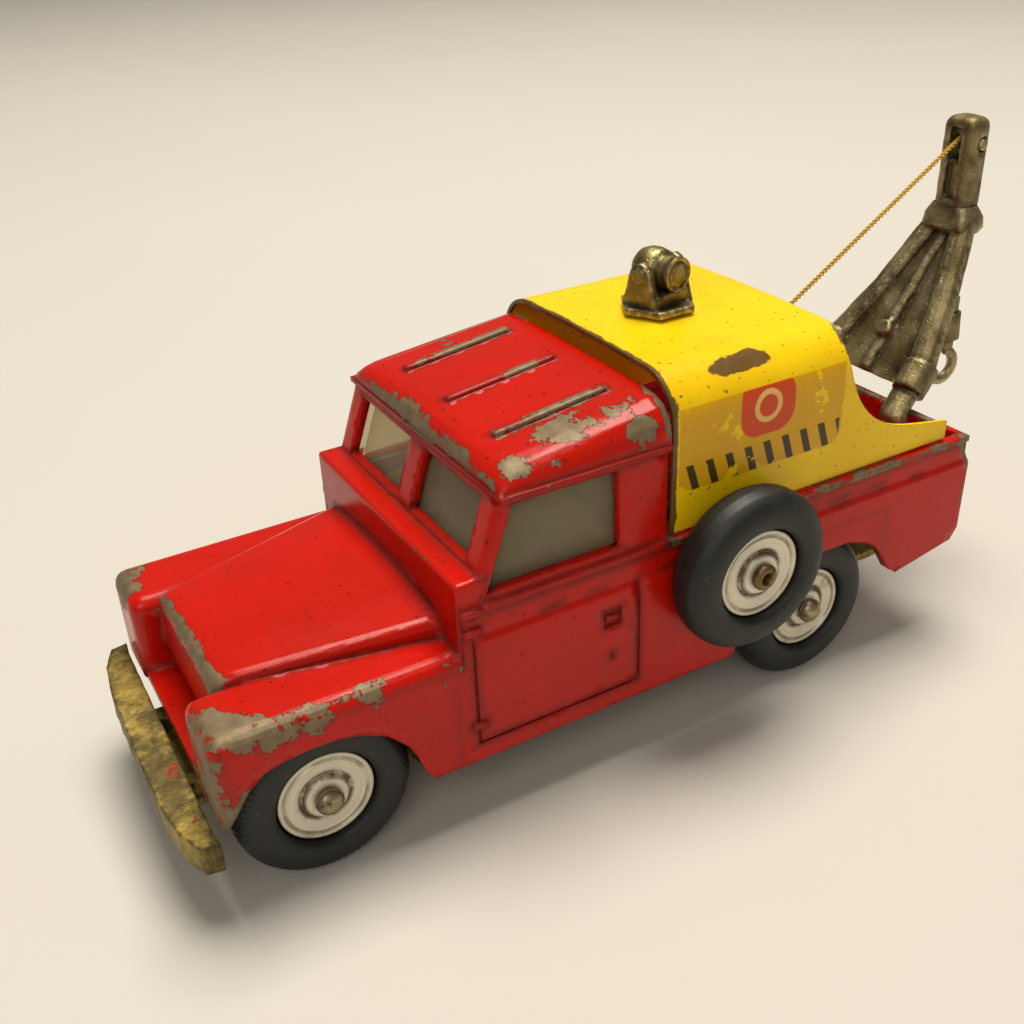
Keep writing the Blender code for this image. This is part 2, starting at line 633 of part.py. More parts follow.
def hub_profile():
    """Spun hub: rim, dished face and raised centre, as a closed loop round the bore."""
    return [(HUB_BORE, 0.35), (2.3, 0.35), (2.7, -0.25), (3.4, -0.3), (3.7, -0.05), (4.1, -0.35), (4.6, 0.0),
            (HUB_RADIUS, 0.0), (HUB_RADIUS, -0.5), (HUB_WAIST, -0.9), (HUB_WAIST, -3.1), (HUB_WAIST + 0.4, -3.4),
            (HUB_WAIST + 0.4, -3.7), (HUB_BORE, -3.7)]


def tyre_profile():
    """A round-shouldered tyre that grips the hub's waist, as a closed loop."""
    lip = HUB_RADIUS + GAP
    waist = HUB_WAIST + GAP
    middle = TYRE_PROUD - TYRE_WIDTH / 2.0
    shoulder = [(6.6, 2.5), (7.6, 2.3), (8.5, 1.6), (9.05, 0.8)]
    outer = [(r, middle + x) for r, x in shoulder] + [(TYRE_RADIUS, middle)]
    inner = [(r, middle - x) for r, x in reversed(shoulder)]
    back = middle - TYRE_WIDTH / 2.0
    return [(lip, 0.1), (5.6, 0.6)] + outer + inner + [(5.4, back), (waist + 0.4, back + 0.3), (waist + 0.4, -3.2),
                                                      (waist, -2.9), (waist, -1.2), (lip, -0.8)]


def make_wheel(hub_name, tyre_name, centre, side, parent):
    hub = turned(hub_name, [(r, side * x) for r, x in hub_profile()], centre, 20, closed=True)
    tyre = turned(tyre_name, [(r, side * x) for r, x in tyre_profile()], centre, 24, closed=True)
    finish(hub, "spun_metal", centre, parent)
    finish(tyre, "rubber", centre, parent)


def make_axle(name, y, play):
    """A plain rod whose ends are headed over outside the hubs."""
    hub = HUB_FACE_X + 0.35 + GAP
    profile = [(0.0, hub + 1.2), (0.7, hub + 1.15), (1.2, hub + 0.85), (AXLE_HEAD_RADIUS, hub + 0.4),
               (AXLE_HEAD_RADIUS, hub), (AXLE_RADIUS, hub)]
    whole = profile + [(r, -x) for r, x in reversed(profile)]
    axle = turned(name, whole, (play, y, AXLE_Z), 20)
    return finish(axle, "steel", (play, y, AXLE_Z), TRUCK)


def make_spring(name, y):
    """A bowed leaf that lies along the truck over the axle and bears on the base plate."""
    half_length = 6.4
    rise = 1.8
    steps = 12
    upper = []
    lower = []
    for step in range(steps + 1):
        share = -1.0 + 2.0 * step / steps
        z = AXLE_Z + AXLE_RADIUS + GAP - rise * share * share
        lower.append((y + half_length * share, z))
        upper.append((y + half_length * share, z + 0.4))
    spring = extrude_outline(name, lower + upper[::-1], "YZ", -1.1, 1.1)
    return finish(spring, "steel", (0.0, y, AXLE_Z), TRUCK)


def make_running_gear():
    for end, y, play in (("front", FRONT_AXLE_Y, FRONT_SIDE_PLAY), ("rear", REAR_AXLE_Y, REAR_SIDE_PLAY)):
        make_axle(end + "_axle", y, play)
        make_spring(end + "_spring", y)
        for side_name, side in SIDES:
            centre = (play + side * HUB_FACE_X, y, AXLE_Z)
            make_wheel(f"{end}_{side_name}_hub", f"{end}_{side_name}_tyre", centre, side, TRUCK)


# ---------------------------------------------------------------- winch and spare wheel

def make_winch():
    """Cross shaft with its thread drum, headed at both ends, and the spare wheel that turns it."""
    left = SPARE_FACE_X + 0.35 + GAP
    right = -(BODY_HALF_WIDTH + GAP)
    drum = DRUM_HALF_LENGTH
    profile = [(0.0, left + 0.7), (1.1, left + 0.6), (1.5, left + 0.3), (1.5, left), (SHAFT_RADIUS, left),
               (SHAFT_RADIUS, drum + 0.6), (FLANGE_RADIUS, drum + 0.6), (FLANGE_RADIUS, drum), (DRUM_RADIUS, drum),
               (DRUM_RADIUS, -drum), (FLANGE_RADIUS, -drum), (FLANGE_RADIUS, -drum - 0.6),
               (SHAFT_RADIUS, -drum - 0.6), (SHAFT_RADIUS, right), (1.6, right), (1.6, right - 0.5),
               (1.0, right - 0.9), (0.0, right - 0.9)]
    pivot = (0.0, WINCH_Y, WINCH_Z)
    finish(turned("winch_shaft", profile, pivot, 24), "steel", pivot, TRUCK)
    half = drum - GAP
    core = DRUM_RADIUS + GAP
    ring = [(core, half), (WINDING_RADIUS - 0.3, half), (WINDING_RADIUS, half - 0.3), (WINDING_RADIUS, -half + 0.3),
            (WINDING_RADIUS - 0.3, -half), (core, -half)]
    finish(turned("wound_thread", ring, pivot, 24, closed=True), "thread", pivot, TRUCK)
    make_wheel("spare_hub", "spare_tyre", (SPARE_FACE_X, WINCH_Y, WINCH_Z), 1.0, TRUCK)


# ---------------------------------------------------------------- canopy

def canopy_section():
    """The sheet's outline seen from the front: upright sides, rounded shoulders, flat top."""
    radius = 5.2
    half = [(CANOPY_HALF_WIDTH, CANOPY_FOOT_Z)]
    for step in range(8):
        angle = math.radians(90.0 * step / 7)
        half.append((CANOPY_HALF_WIDTH - radius + radius * math.cos(angle),
                     CANOPY_TOP_Z - 0.2 - radius + radius * math.sin(angle)))
    half.append((4.0, CANOPY_TOP_Z))
    return mirrored(half)


def canopy_cutout():
    """The swept cut-out of the rear, seen from the side."""
    return [(34.2, 50.0), (34.2, 43.0), (33.9, 41.2), (34.2, 39.2), (35.0, 36.8), (36.1, 34.6), (37.8, 32.6),
            (39.6, 31.3), (41.8, 30.2), (45.2, 29.4), (50.3, 28.5), (51.5, 28.3), (60.0, 28.3), (60.0, 50.0)]


def make_canopy():
    section = canopy_section()
    shape = bmesh.new()
    rows = []
    for y in (CANOPY_FRONT_Y, CANOPY_END_Y):
        rows.append([shape.verts.new(metres((x, y, z))) for x, z in section])
    for i in range(len(section) - 1):
        shape.faces.new((rows[0][i], rows[0][i + 1], rows[1][i + 1], rows[1][i]))
    sheet = solid_from_bmesh("canopy_sheet", shape)
    thick = sheet.modifiers.new("thickness", "SOLIDIFY")
    thick.thickness = SHEET * MM
    thick.offset = -1.0
    canopy = bake(sheet, "canopy")
    cut(canopy, extrude_outline("canopy_cutout", canopy_cutout(), "YZ", -30.0, 30.0))
    for side_name, side in SIDES:
        for number, y in enumerate((14.0, 44.5)):
            low_x, high_x = sorted((side * 15.55, side * (CANOPY_HALF_WIDTH - 0.1)))
            add(canopy, box(f"tab_root_{side_name}_{number}", (low_x, y, CANOPY_FOOT_Z + 0.02),
                            (high_x, y + 4.0, CANOPY_FOOT_Z + 0.6)))
            low_x, high_x = sorted((side * 15.55, side * 16.0))
            add(canopy, box(f"tab_{side_name}_{number}", (low_x, y, 22.4), (high_x, y + 4.0, CANOPY_FOOT_Z + 0.6)))
    cut(canopy, rod("lamp_stem_hole", (0.0, LAMP_Y, 40.0), (0.0, LAMP_Y, 46.0), 1.3))
    return finish(canopy, "yellow_enamel", parent=TRUCK)


# ---------------------------------------------------------------- searchlight

def make_searchlight():
    """Hexagonal foot, cast yoke and lamp in one casting, on a stem headed under the roof."""
    plate_z = CANOPY_TOP_Z + GAP
    top_z = plate_z + 0.8
    hexagon = [(LAMP_PLATE_RADIUS * math.cos(math.radians(60 * i + 18)),
                LAMP_PLATE_RADIUS * math.sin(math.radians(60 * i + 18))) for i in range(6)]
    light = extrude_outline("searchlight", hexagon, "XY", plate_z, top_z)
    round_edges(light, 0.15, segments=1)
    add(light, rod("stem_form", (0, 0, plate_z + 0.3), (0, 0, 41.5), 1.0, sides=16))
    add(light, rod("stem_head_form", (0, 0, CANOPY_TOP_Z - SHEET - GAP), (0, 0, 41.3), 2.0, 1.4, sides=16))
    block = box("yoke_block", (-2.3, -2.6, top_z - 0.3), (2.3, 2.6, top_z + 1.5))
    add(light, round_edges(block, 0.35, segments=2))
    ear = [(-2.5, top_z - 0.2), (2.5, top_z - 0.2), (1.9, 46.2), (1.35, LAMP_AXIS_Z + 0.3), (0.8, LAMP_AXIS_Z + 1.0),
           (0.0, LAMP_AXIS_Z + 1.3), (-0.8, LAMP_AXIS_Z + 1.0), (-1.35, LAMP_AXIS_Z + 0.3), (-1.9, 46.2)]
    for number, side in enumerate((-1.0, 1.0)):
        low_y, high_y = sorted((side * 2.2, side * 3.0))
        add(light, extrude_outline(f"ear_{number}", ear, "XZ", low_y, high_y))
        add(light, rod(f"boss_{number}", (0, side * 2.0, LAMP_AXIS_Z), (0, side * 3.35, LAMP_AXIS_Z), 0.85, sides=16))
    lamp = [(0.0, 3.0), (1.35, 2.9), (1.4, 2.6), (1.55, 2.95), (1.9, 2.95), (1.9, 2.5), (1.75, 2.3), (1.75, 0.9),
            (2.25, 0.6), (2.42, -0.3), (2.35, -1.2), (2.0, -2.1), (1.3, -2.75), (0.0, -3.0)]
    add(light, turned("lamp_form", lamp, (0.0, 0.0, LAMP_AXIS_Z), 28))
    light = bake(light, "searchlight")
    light.data.transform(Matrix.Translation(metres((0.0, LAMP_Y, 0.0))) @ Matrix.Rotation(LAMP_TURN, 4, "Z"))
    return finish(light, "silver_casting", (0.0, LAMP_Y, CANOPY_TOP_Z), TRUCK)


# ---------------------------------------------------------------- jib

def limb_rings(side):
    """A limb of the A-frame as oval rings, from its foot below the bed floor to the collar."""
    stations = ((JIB_KNEE_X, JIB_KNEE_Y, 14.2, 1.8, 1.5), (JIB_KNEE_X, JIB_KNEE_Y, 17.0, 1.85, 1.55),
                (JIB_KNEE_X, JIB_KNEE_Y, JIB_KNEE_Z, 1.85, 1.55), (8.3, 51.2, 26.4, 1.8, 1.5),
                (7.3, 56.0, 30.2, 1.7, 1.9), (4.6, 61.7, 37.6, 1.6, 1.75),
                (JIB_TOP_X, JIB_TOP_Y, JIB_TOP_Z + 0.6, 1.4, 1.5))
    rings = []
    for x, y, z, half_x, half_y in stations:
        ring = []
        for step in range(12):
            angle = math.tau * step / 12
            ring.append((side * x + half_x * math.cos(angle), y + half_y * math.sin(angle), z))
        rings.append(ring)
    return rings


def make_jib():
    """Cast A-frame with a closed web, a collar and a slotted head that carries the cord."""
    jib = loft("jib", limb_rings(1.0))
    add(jib, loft("right_limb", limb_rings(-1.0)))
    for side_name, side in SIDES:
        add(jib, rod("sleeve_" + side_name, (side * 7.9, 53.6, 28.0), (side * 7.2, 56.3, 30.6), 2.05, 2.2, sides=16))
        add(jib, rod("foot_head_" + side_name, (side * JIB_KNEE_X, JIB_KNEE_Y, 13.2),
                     (side * JIB_KNEE_X, JIB_KNEE_Y, BED_FLOOR_Z - GAP), 2.0, sides=14))
    web = [(7.7, 54.0, 28.2), (JIB_TOP_X, JIB_TOP_Y + 0.3, JIB_TOP_Z + 0.5)]
    rings = []
    for x, y, z in web:
        rings.append([(x, y + 0.1, z), (x, y + 1.0, z - 0.6), (-x, y + 1.0, z - 0.6), (-x, y + 0.1, z)])
    add(jib, loft("web", rings))
    add(jib, rod("web_rib", (0.0, 54.2, 28.4), (0.0, JIB_TOP_Y, JIB_TOP_Z), 0.8, 0.7, sides=10))
    add(jib, rod("lug", (0.0, 58.6, 32.0), (0.0, 56.5, 33.6), 1.3, 1.0, sides=16))
    collar = [[(x, y, z) for x, y in rounded_rectangle(-half_x, half_x, HEAD_Y - half_y, HEAD_Y + half_y - 0.5, 0.9)]
              for z, half_x, half_y in ((44.3, 3.05, 2.1), (45.0, 3.4, 2.5), (46.3, 3.3, 2.35), (47.6, 2.6, 1.85))]
    add(jib, loft("collar", collar))
    head = box("head", (-HEAD_HALF_WIDTH, HEAD_Y - HEAD_HALF_DEPTH, 46.5),
               (HEAD_HALF_WIDTH, HEAD_Y + HEAD_HALF_DEPTH, HEAD_TOP_Z))
    add(jib, round_edges(head, 1.3, segments=4))
    cut(jib, box("head_slot", (-SLOT_HALF_WIDTH, 60.0, 53.0), (SLOT_HALF_WIDTH, 75.0, 57.0)))
    cut(jib, box("head_groove", (-SLOT_HALF_WIDTH, 60.0, 48.4), (SLOT_HALF_WIDTH, HEAD_Y - 1.1, 53.4)))
    cut(jib, box("cord_channel", (-SLOT_HALF_WIDTH, PIN_Y + 0.65, 40.0), (SLOT_HALF_WIDTH, 75.0, 53.6)))
    cut(jib, rod("pin_hole", (-5.0, PIN_Y, PIN_Z), (5.0, PIN_Y, PIN_Z), PIN_RADIUS + GAP))
    return finish(jib, "silver_casting", parent=TRUCK)


def make_jib_pin():
    end = HEAD_HALF_WIDTH + 0.1
    profile = [(0.0, end), (PIN_RADIUS - 0.1, end), (PIN_RADIUS, end - 0.1), (PIN_RADIUS, 0.1 - end),
               (PIN_RADIUS - 0.1, -end), (0.0, -end)]
    pin = turned("jib_pin", profile, (0.0, PIN_Y, PIN_Z), 16)
    return finish(pin, "steel", (0.0, PIN_Y, PIN_Z), TRUCK)


# ---------------------------------------------------------------- cord and hook

def cord_wrap_radius():
    return PIN_RADIUS + GAP + CORD_DIAMETER / 2.0


def winch_cord_route():
    """From the winding's rear top, straight to the head pin and over it."""
    wrap = cord_wrap_radius()
    wound = WINDING_RADIUS + GAP + CORD_DIAMETER / 2.0
    run = math.atan2(PIN_Z - WINCH_Z, PIN_Y - WINCH_Y)
    spread = math.hypot(PIN_Z - WINCH_Z, PIN_Y - WINCH_Y)
    lean = run - math.asin((wound - wrap) / spread)
    normal = (-math.sin(lean), math.cos(lean))
    start = (WINCH_Y + wound * normal[0], WINCH_Z + wound * normal[1])
    end = (PIN_Y + wrap * normal[0], PIN_Z + wrap * normal[1])
    route = [(0.0, start[0] + (end[0] - start[0]) * i / 20, start[1] + (end[1] - start[1]) * i / 20)
             for i in range(21)]
    first = math.pi / 2 + lean
    for step in range(1, 7):
        angle = first * (1.0 - step / 6.0)
        route.append((0.0, PIN_Y + wrap * math.cos(angle), PIN_Z + wrap * math.sin(angle)))
    return route


def make_cords():
    wrap = cord_wrap_radius()
    cord = tube("winch_cord", winch_cord_route(), CORD_DIAMETER / 2.0)
    finish(cord, "thread", parent=TRUCK)
    top = PIN_Z - GAP
    foot = HOOK_EYE_Z + GAP
    route = [(0.0, PIN_Y + wrap, top + (foot - top) * i / 10) for i in range(11)]
    hanging = tube("hook_cord", route, CORD_DIAMETER / 2.0)
    finish(hanging, "thread", (0.0, PIN_Y, PIN_Z), TRUCK)


def make_hook():
    """Cast hook: collar that the cord goes into, shank, weight and open hook."""
    y = PIN_Y + cord_wrap_radius()
    route = [(0.0, y, HOOK_EYE_Z - 6.2)]
    for step in range(13):
        angle = math.radians(75.0 - 255.0 * step / 12)
        route.append((0.0, y - 0.1 + 2.1 * math.cos(angle) * 1.0, HOOK_EYE_Z - 9.6 + 2.1 * math.sin(angle)))
    hook = tube("hook", route, 0.7)
    add(hook, rod("hook_shank", (0.0, y, HOOK_EYE_Z), (0.0, y, HOOK_EYE_Z - 7.0), 1.1, 1.1, sides=16))
    add(hook, rod("hook_weight", (0.0, y, HOOK_EYE_Z - 2.0), (0.0, y, HOOK_EYE_Z - 5.6), 1.5, 1.7, sides=16))
    return finish(hook, "silver_casting", (0.0, y, HOOK_EYE_Z), TRUCK)


TRUCK = bpy.data.objects.new("truck_frame", None)
PARTS.objects.link(TRUCK)
make_body()
make_base_plate()
make_glazing()
make_interior()
make_steering_wheel()
make_running_gear()
make_winch()
make_canopy()
make_searchlight()
make_jib()
make_jib_pin()
make_cords()
make_hook()
for guide in CUTTERS.objects:
    guide.parent = TRUCK
TRUCK.location = metres(TRUCK_SHIFT)
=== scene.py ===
"""Looks of the die-cast toy tow truck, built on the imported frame.

Places are given in millimetres from the truck's own centre plane, as in the CAD source, and at()
turns them into metres in the shared frame.
"""
import math

import bmesh
import bpy
import numpy as np
from mathutils import Matrix, Vector, kdtree


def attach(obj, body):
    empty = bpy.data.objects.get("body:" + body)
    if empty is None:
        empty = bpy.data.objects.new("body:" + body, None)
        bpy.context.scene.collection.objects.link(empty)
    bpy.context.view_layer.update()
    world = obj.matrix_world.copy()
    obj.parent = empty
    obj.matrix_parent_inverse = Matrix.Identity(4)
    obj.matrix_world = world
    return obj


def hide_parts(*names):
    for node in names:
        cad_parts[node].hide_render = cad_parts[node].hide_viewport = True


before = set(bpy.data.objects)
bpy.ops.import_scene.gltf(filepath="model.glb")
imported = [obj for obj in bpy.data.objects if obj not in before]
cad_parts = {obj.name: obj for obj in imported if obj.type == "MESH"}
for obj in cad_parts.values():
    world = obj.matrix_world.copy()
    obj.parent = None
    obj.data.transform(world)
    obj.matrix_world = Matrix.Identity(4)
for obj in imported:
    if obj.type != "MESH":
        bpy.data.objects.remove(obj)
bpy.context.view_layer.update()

MM = 0.001
GAP = 0.3
TRUCK_SHIFT = Vector((-2.35, -14.03, 0.0))

# wheels and axles
AXLE_Z = 9.2
FRONT_AXLE_Y = -28.65
REAR_AXLE_Y = 31.35
HUB_FACE_X = 15.8
SIDE_PLAY = 0.4
TYRE_RADIUS = 9.2
TYRE_HALF_WIDTH = 2.5
TYRE_PROUD = 0.8
TREAD_POINTS = 21
BLOCK_WAVES = 72

# winch, jib and cords
WINCH_Y = 18.5
WINCH_Z = 21.6
SPARE_FACE_X = 22.2
DRUM_HALF_LENGTH = 2.6
FLANGE_HALF_LENGTH = 3.2
SHAFT_RADIUS = 0.85
DRUM_RADIUS = 2.1
FLANGE_RADIUS = 3.9
WINDING_TURNS = 7.2
WINDING_RADIUS = 2.88
PIN_Y = 67.3
PIN_Z = 55.0
HOOK_EYE_Z = 35.0
HOOK_LOWERED = 12.0
CORD_RADIUS = 0.3
WRAP_RADIUS = 1.3
WOUND_RADIUS = 3.8

# canopy and its sticker
CANOPY_HALF_WIDTH = 16.8
CANOPY_TOP_Z = 43.4
CANOPY_FOOT_Z = 26.2
CANOPY_FRONT_Y = 10.95
CANOPY_END_Y = 50.6
CANOPY_CORNER = 5.2
CANOPY_CROWN = 0.2
SHEET = 0.45
STICKER_Y = 22.6
STICKER_Z = 36.0
BADGE_Y = 23.0
BADGE_Z = 37.6
BARS_Z = 32.1
BAR_PITCH = 2.5
BAR_SLANT = 0.32

# front
GRILLE_Y = -33.4
LAMP_X = 6.2
LAMP_Z = 18.3
LAMP_RADIUS = 1.75
LAMP_BULGE = 0.7
LAMP_BEHIND = 0.95


def at(x, y, z):
    return (Vector((x, y, z)) + TRUCK_SHIFT) * MM


# ---------------------------------------------------------------- node helpers

class Nodes:
    """A short way to write one material's node tree."""

    def __init__(self, name):
        self.material = bpy.data.materials.new(name)
        self.material.use_nodes = True
        self.tree = self.material.node_tree
        self.shader = self.tree.nodes["Principled BSDF"]
        self.place = self.tree.nodes.new("ShaderNodeTexCoord").outputs["Object"]

    def put(self, socket, value):
        if isinstance(value, bpy.types.NodeSocket):
            self.tree.links.new(value, socket)
        else:
            socket.default_value = value

    def set(self, **values):
        for key, value in values.items():
            self.put(self.shader.inputs[key.replace("_", " ")], value)

    def math(self, operation, a, b=0.0, c=0.0, clamp=False):
        node = self.tree.nodes.new("ShaderNodeMath")
        node.operation = operation
        node.use_clamp = clamp
        for socket, value in zip(node.inputs, (a, b, c)):
            self.put(socket, value)
        return node.outputs[0]

    def vector(self, operation, a, b=(0.0, 0.0, 0.0)):
        node = self.tree.nodes.new("ShaderNodeVectorMath")
        node.operation = operation
        self.put(node.inputs[0], a)
        self.put(node.inputs[1], b)
        return node.outputs["Value"] if operation in ("LENGTH", "DOT_PRODUCT") else node.outputs[0]

    def noise(self, scale, detail=3.0, roughness=0.55, place=None):
        node = self.tree.nodes.new("ShaderNodeTexNoise")
        node.inputs["Scale"].default_value = scale
        node.inputs["Detail"].default_value = detail
        node.inputs["Roughness"].default_value = roughness
        self.put(node.inputs["Vector"], self.place if place is None else place)
        return node.outputs["Fac"]

    def cells(self, scale, place=None):
        node = self.tree.nodes.new("ShaderNodeTexVoronoi")
        node.inputs["Scale"].default_value = scale
        self.put(node.inputs["Vector"], self.place if place is None else place)
        return node.outputs["Distance"]

    def step(self, value, low, high):
        node = self.tree.nodes.new("ShaderNodeMapRange")
        node.interpolation_type = "SMOOTHSTEP"
        self.put(node.inputs["Value"], value)
        node.inputs["From Min"].default_value = low
        node.inputs["From Max"].default_value = high
        return node.outputs[0]

    def span(self, value, low, high):
        node = self.tree.nodes.new("ShaderNodeMapRange")
        self.put(node.inputs["Value"], value)
        node.inputs["To Min"].default_value = low
        node.inputs["To Max"].default_value = high
        return node.outputs[0]

    def mix(self, share, a, b):
        node = self.tree.nodes.new("ShaderNodeMix")
        node.data_type = "RGBA"
        self.put(node.inputs[0], share)
        self.put(node.inputs[6], a)
        self.put(node.inputs[7], b)
        return node.outputs[2]

    def blend(self, share, a, b):
        node = self.tree.nodes.new("ShaderNodeMix")
        self.put(node.inputs[0], share)
        self.put(node.inputs[2], a)
        self.put(node.inputs[3], b)
        return node.outputs[0]

    def attribute(self, name):
        node = self.tree.nodes.new("ShaderNodeAttribute")
        node.attribute_name = name
        return node.outputs["Fac"]

    def xyz(self, place=None):
        node = self.tree.nodes.new("ShaderNodeSeparateXYZ")
        self.put(node.inputs[0], self.place if place is None else place)
        return node.outputs

    def bump(self, height, distance, strength=1.0, normal=None):
        node = self.tree.nodes.new("ShaderNodeBump")
        node.inputs["Strength"].default_value = strength
        node.inputs["Distance"].default_value = distance
        self.put(node.inputs["Height"], height)
        if normal is not None:
            self.put(node.inputs["Normal"], normal)
        return node.outputs[0]

    def rounded(self, radius):
        node = self.tree.nodes.new("ShaderNodeBevel")
        node.samples = 4
        node.inputs["Radius"].default_value = radius
        return node.outputs[0]


def rgb(r, g, b):
    return (r, g, b, 1.0)


ZINC = rgb(0.105, 0.078, 0.045)
ZINC_LIGHT = rgb(0.30, 0.225, 0.13)
GRIME = rgb(0.020, 0.010, 0.005)


# ---------------------------------------------------------------- materials

def enamel(name, colour, shade, chips, gloss, edge_gain=1.0):
    """Thick enamel on zinc: chipped along its edges and in its worn zones, grimy in its creases, with
    painted light and shade from lit and shaded copies of its colour mixed in blotches.
    """
    n = Nodes(name)
    wear = n.attribute("wear")
    edge = n.attribute("edge_mm")
    crease = n.attribute("crease_mm")
    large = n.noise(260.0, 4.0, 0.62)
    fine = n.noise(1150.0, 4.0, 0.6)
    closeness = n.math("MULTIPLY", n.math("SUBTRACT", 1.0, edge, clamp=True), 0.30 * edge_gain)
    field = n.math("ADD", n.math("MULTIPLY", large, 1.0), n.math("MULTIPLY", fine, 0.42))
    field = n.math("ADD", field, closeness)
    field = n.math("ADD", field, n.math("MULTIPLY", wear, 0.50))
    chip = n.step(field, chips, chips + 0.02)
    rim = n.math("SUBTRACT", n.step(field, chips - 0.03, chips), chip, clamp=True)
    dirt = n.math("MULTIPLY", n.math("SUBTRACT", 1.0, crease, clamp=True), n.span(n.noise(500.0), 0.3, 1.0))
    # colour and shade are lit and shaded copies of the enamel; mixing them in noise blotches is painted
    # light and shade
    lit_shade_blotches = n.noise(60.0, 5.0, 0.6)
    paint = n.mix(n.step(lit_shade_blotches, 0.35, 0.7), colour, shade)
    speck = n.step(n.noise(1500.0, 2.0, 0.5), 0.68, 0.72)
    paint = n.mix(n.math("MULTIPLY", speck, 0.75), paint, GRIME)
    paint = n.mix(n.math("MULTIPLY", dirt, 0.80), paint, GRIME)
    metal = n.mix(n.noise(900.0, 3.0), ZINC, ZINC_LIGHT)
    base = n.mix(n.math("MULTIPLY", rim, 0.55), paint, GRIME)
    n.set(Base_Color=n.mix(chip, base, metal))
    n.set(Metallic=n.math("MULTIPLY", chip, 0.45))
    rough = n.blend(n.noise(180.0, 6.0, 0.65), gloss - 0.06, gloss + 0.16)
    rough = n.math("ADD", rough, n.math("MULTIPLY", dirt, 0.3))
    n.set(Roughness=n.blend(chip, rough, n.span(fine, 0.42, 0.66)))
    n.shader.inputs["Specular IOR Level"].default_value = 0.25
    soft = n.rounded(0.00028)
    peel = n.bump(n.noise(220.0, 2.0), 0.00010, 0.5, soft)
    n.set(Normal=n.bump(n.math("SUBTRACT", n.math("MULTIPLY", fine, 0.15), chip), 0.00006, 0.9, peel))
    return n


def red_enamel():
    # colour is the red of the lit top and shade the red of the shadier side: painted light and shade
    colour = rgb(0.52, 0.0065, 0.0012)
    shade = rgb(0.43, 0.0075, 0.0015)
    return enamel("red_enamel_worn", colour, shade, 1.15, 0.20).material


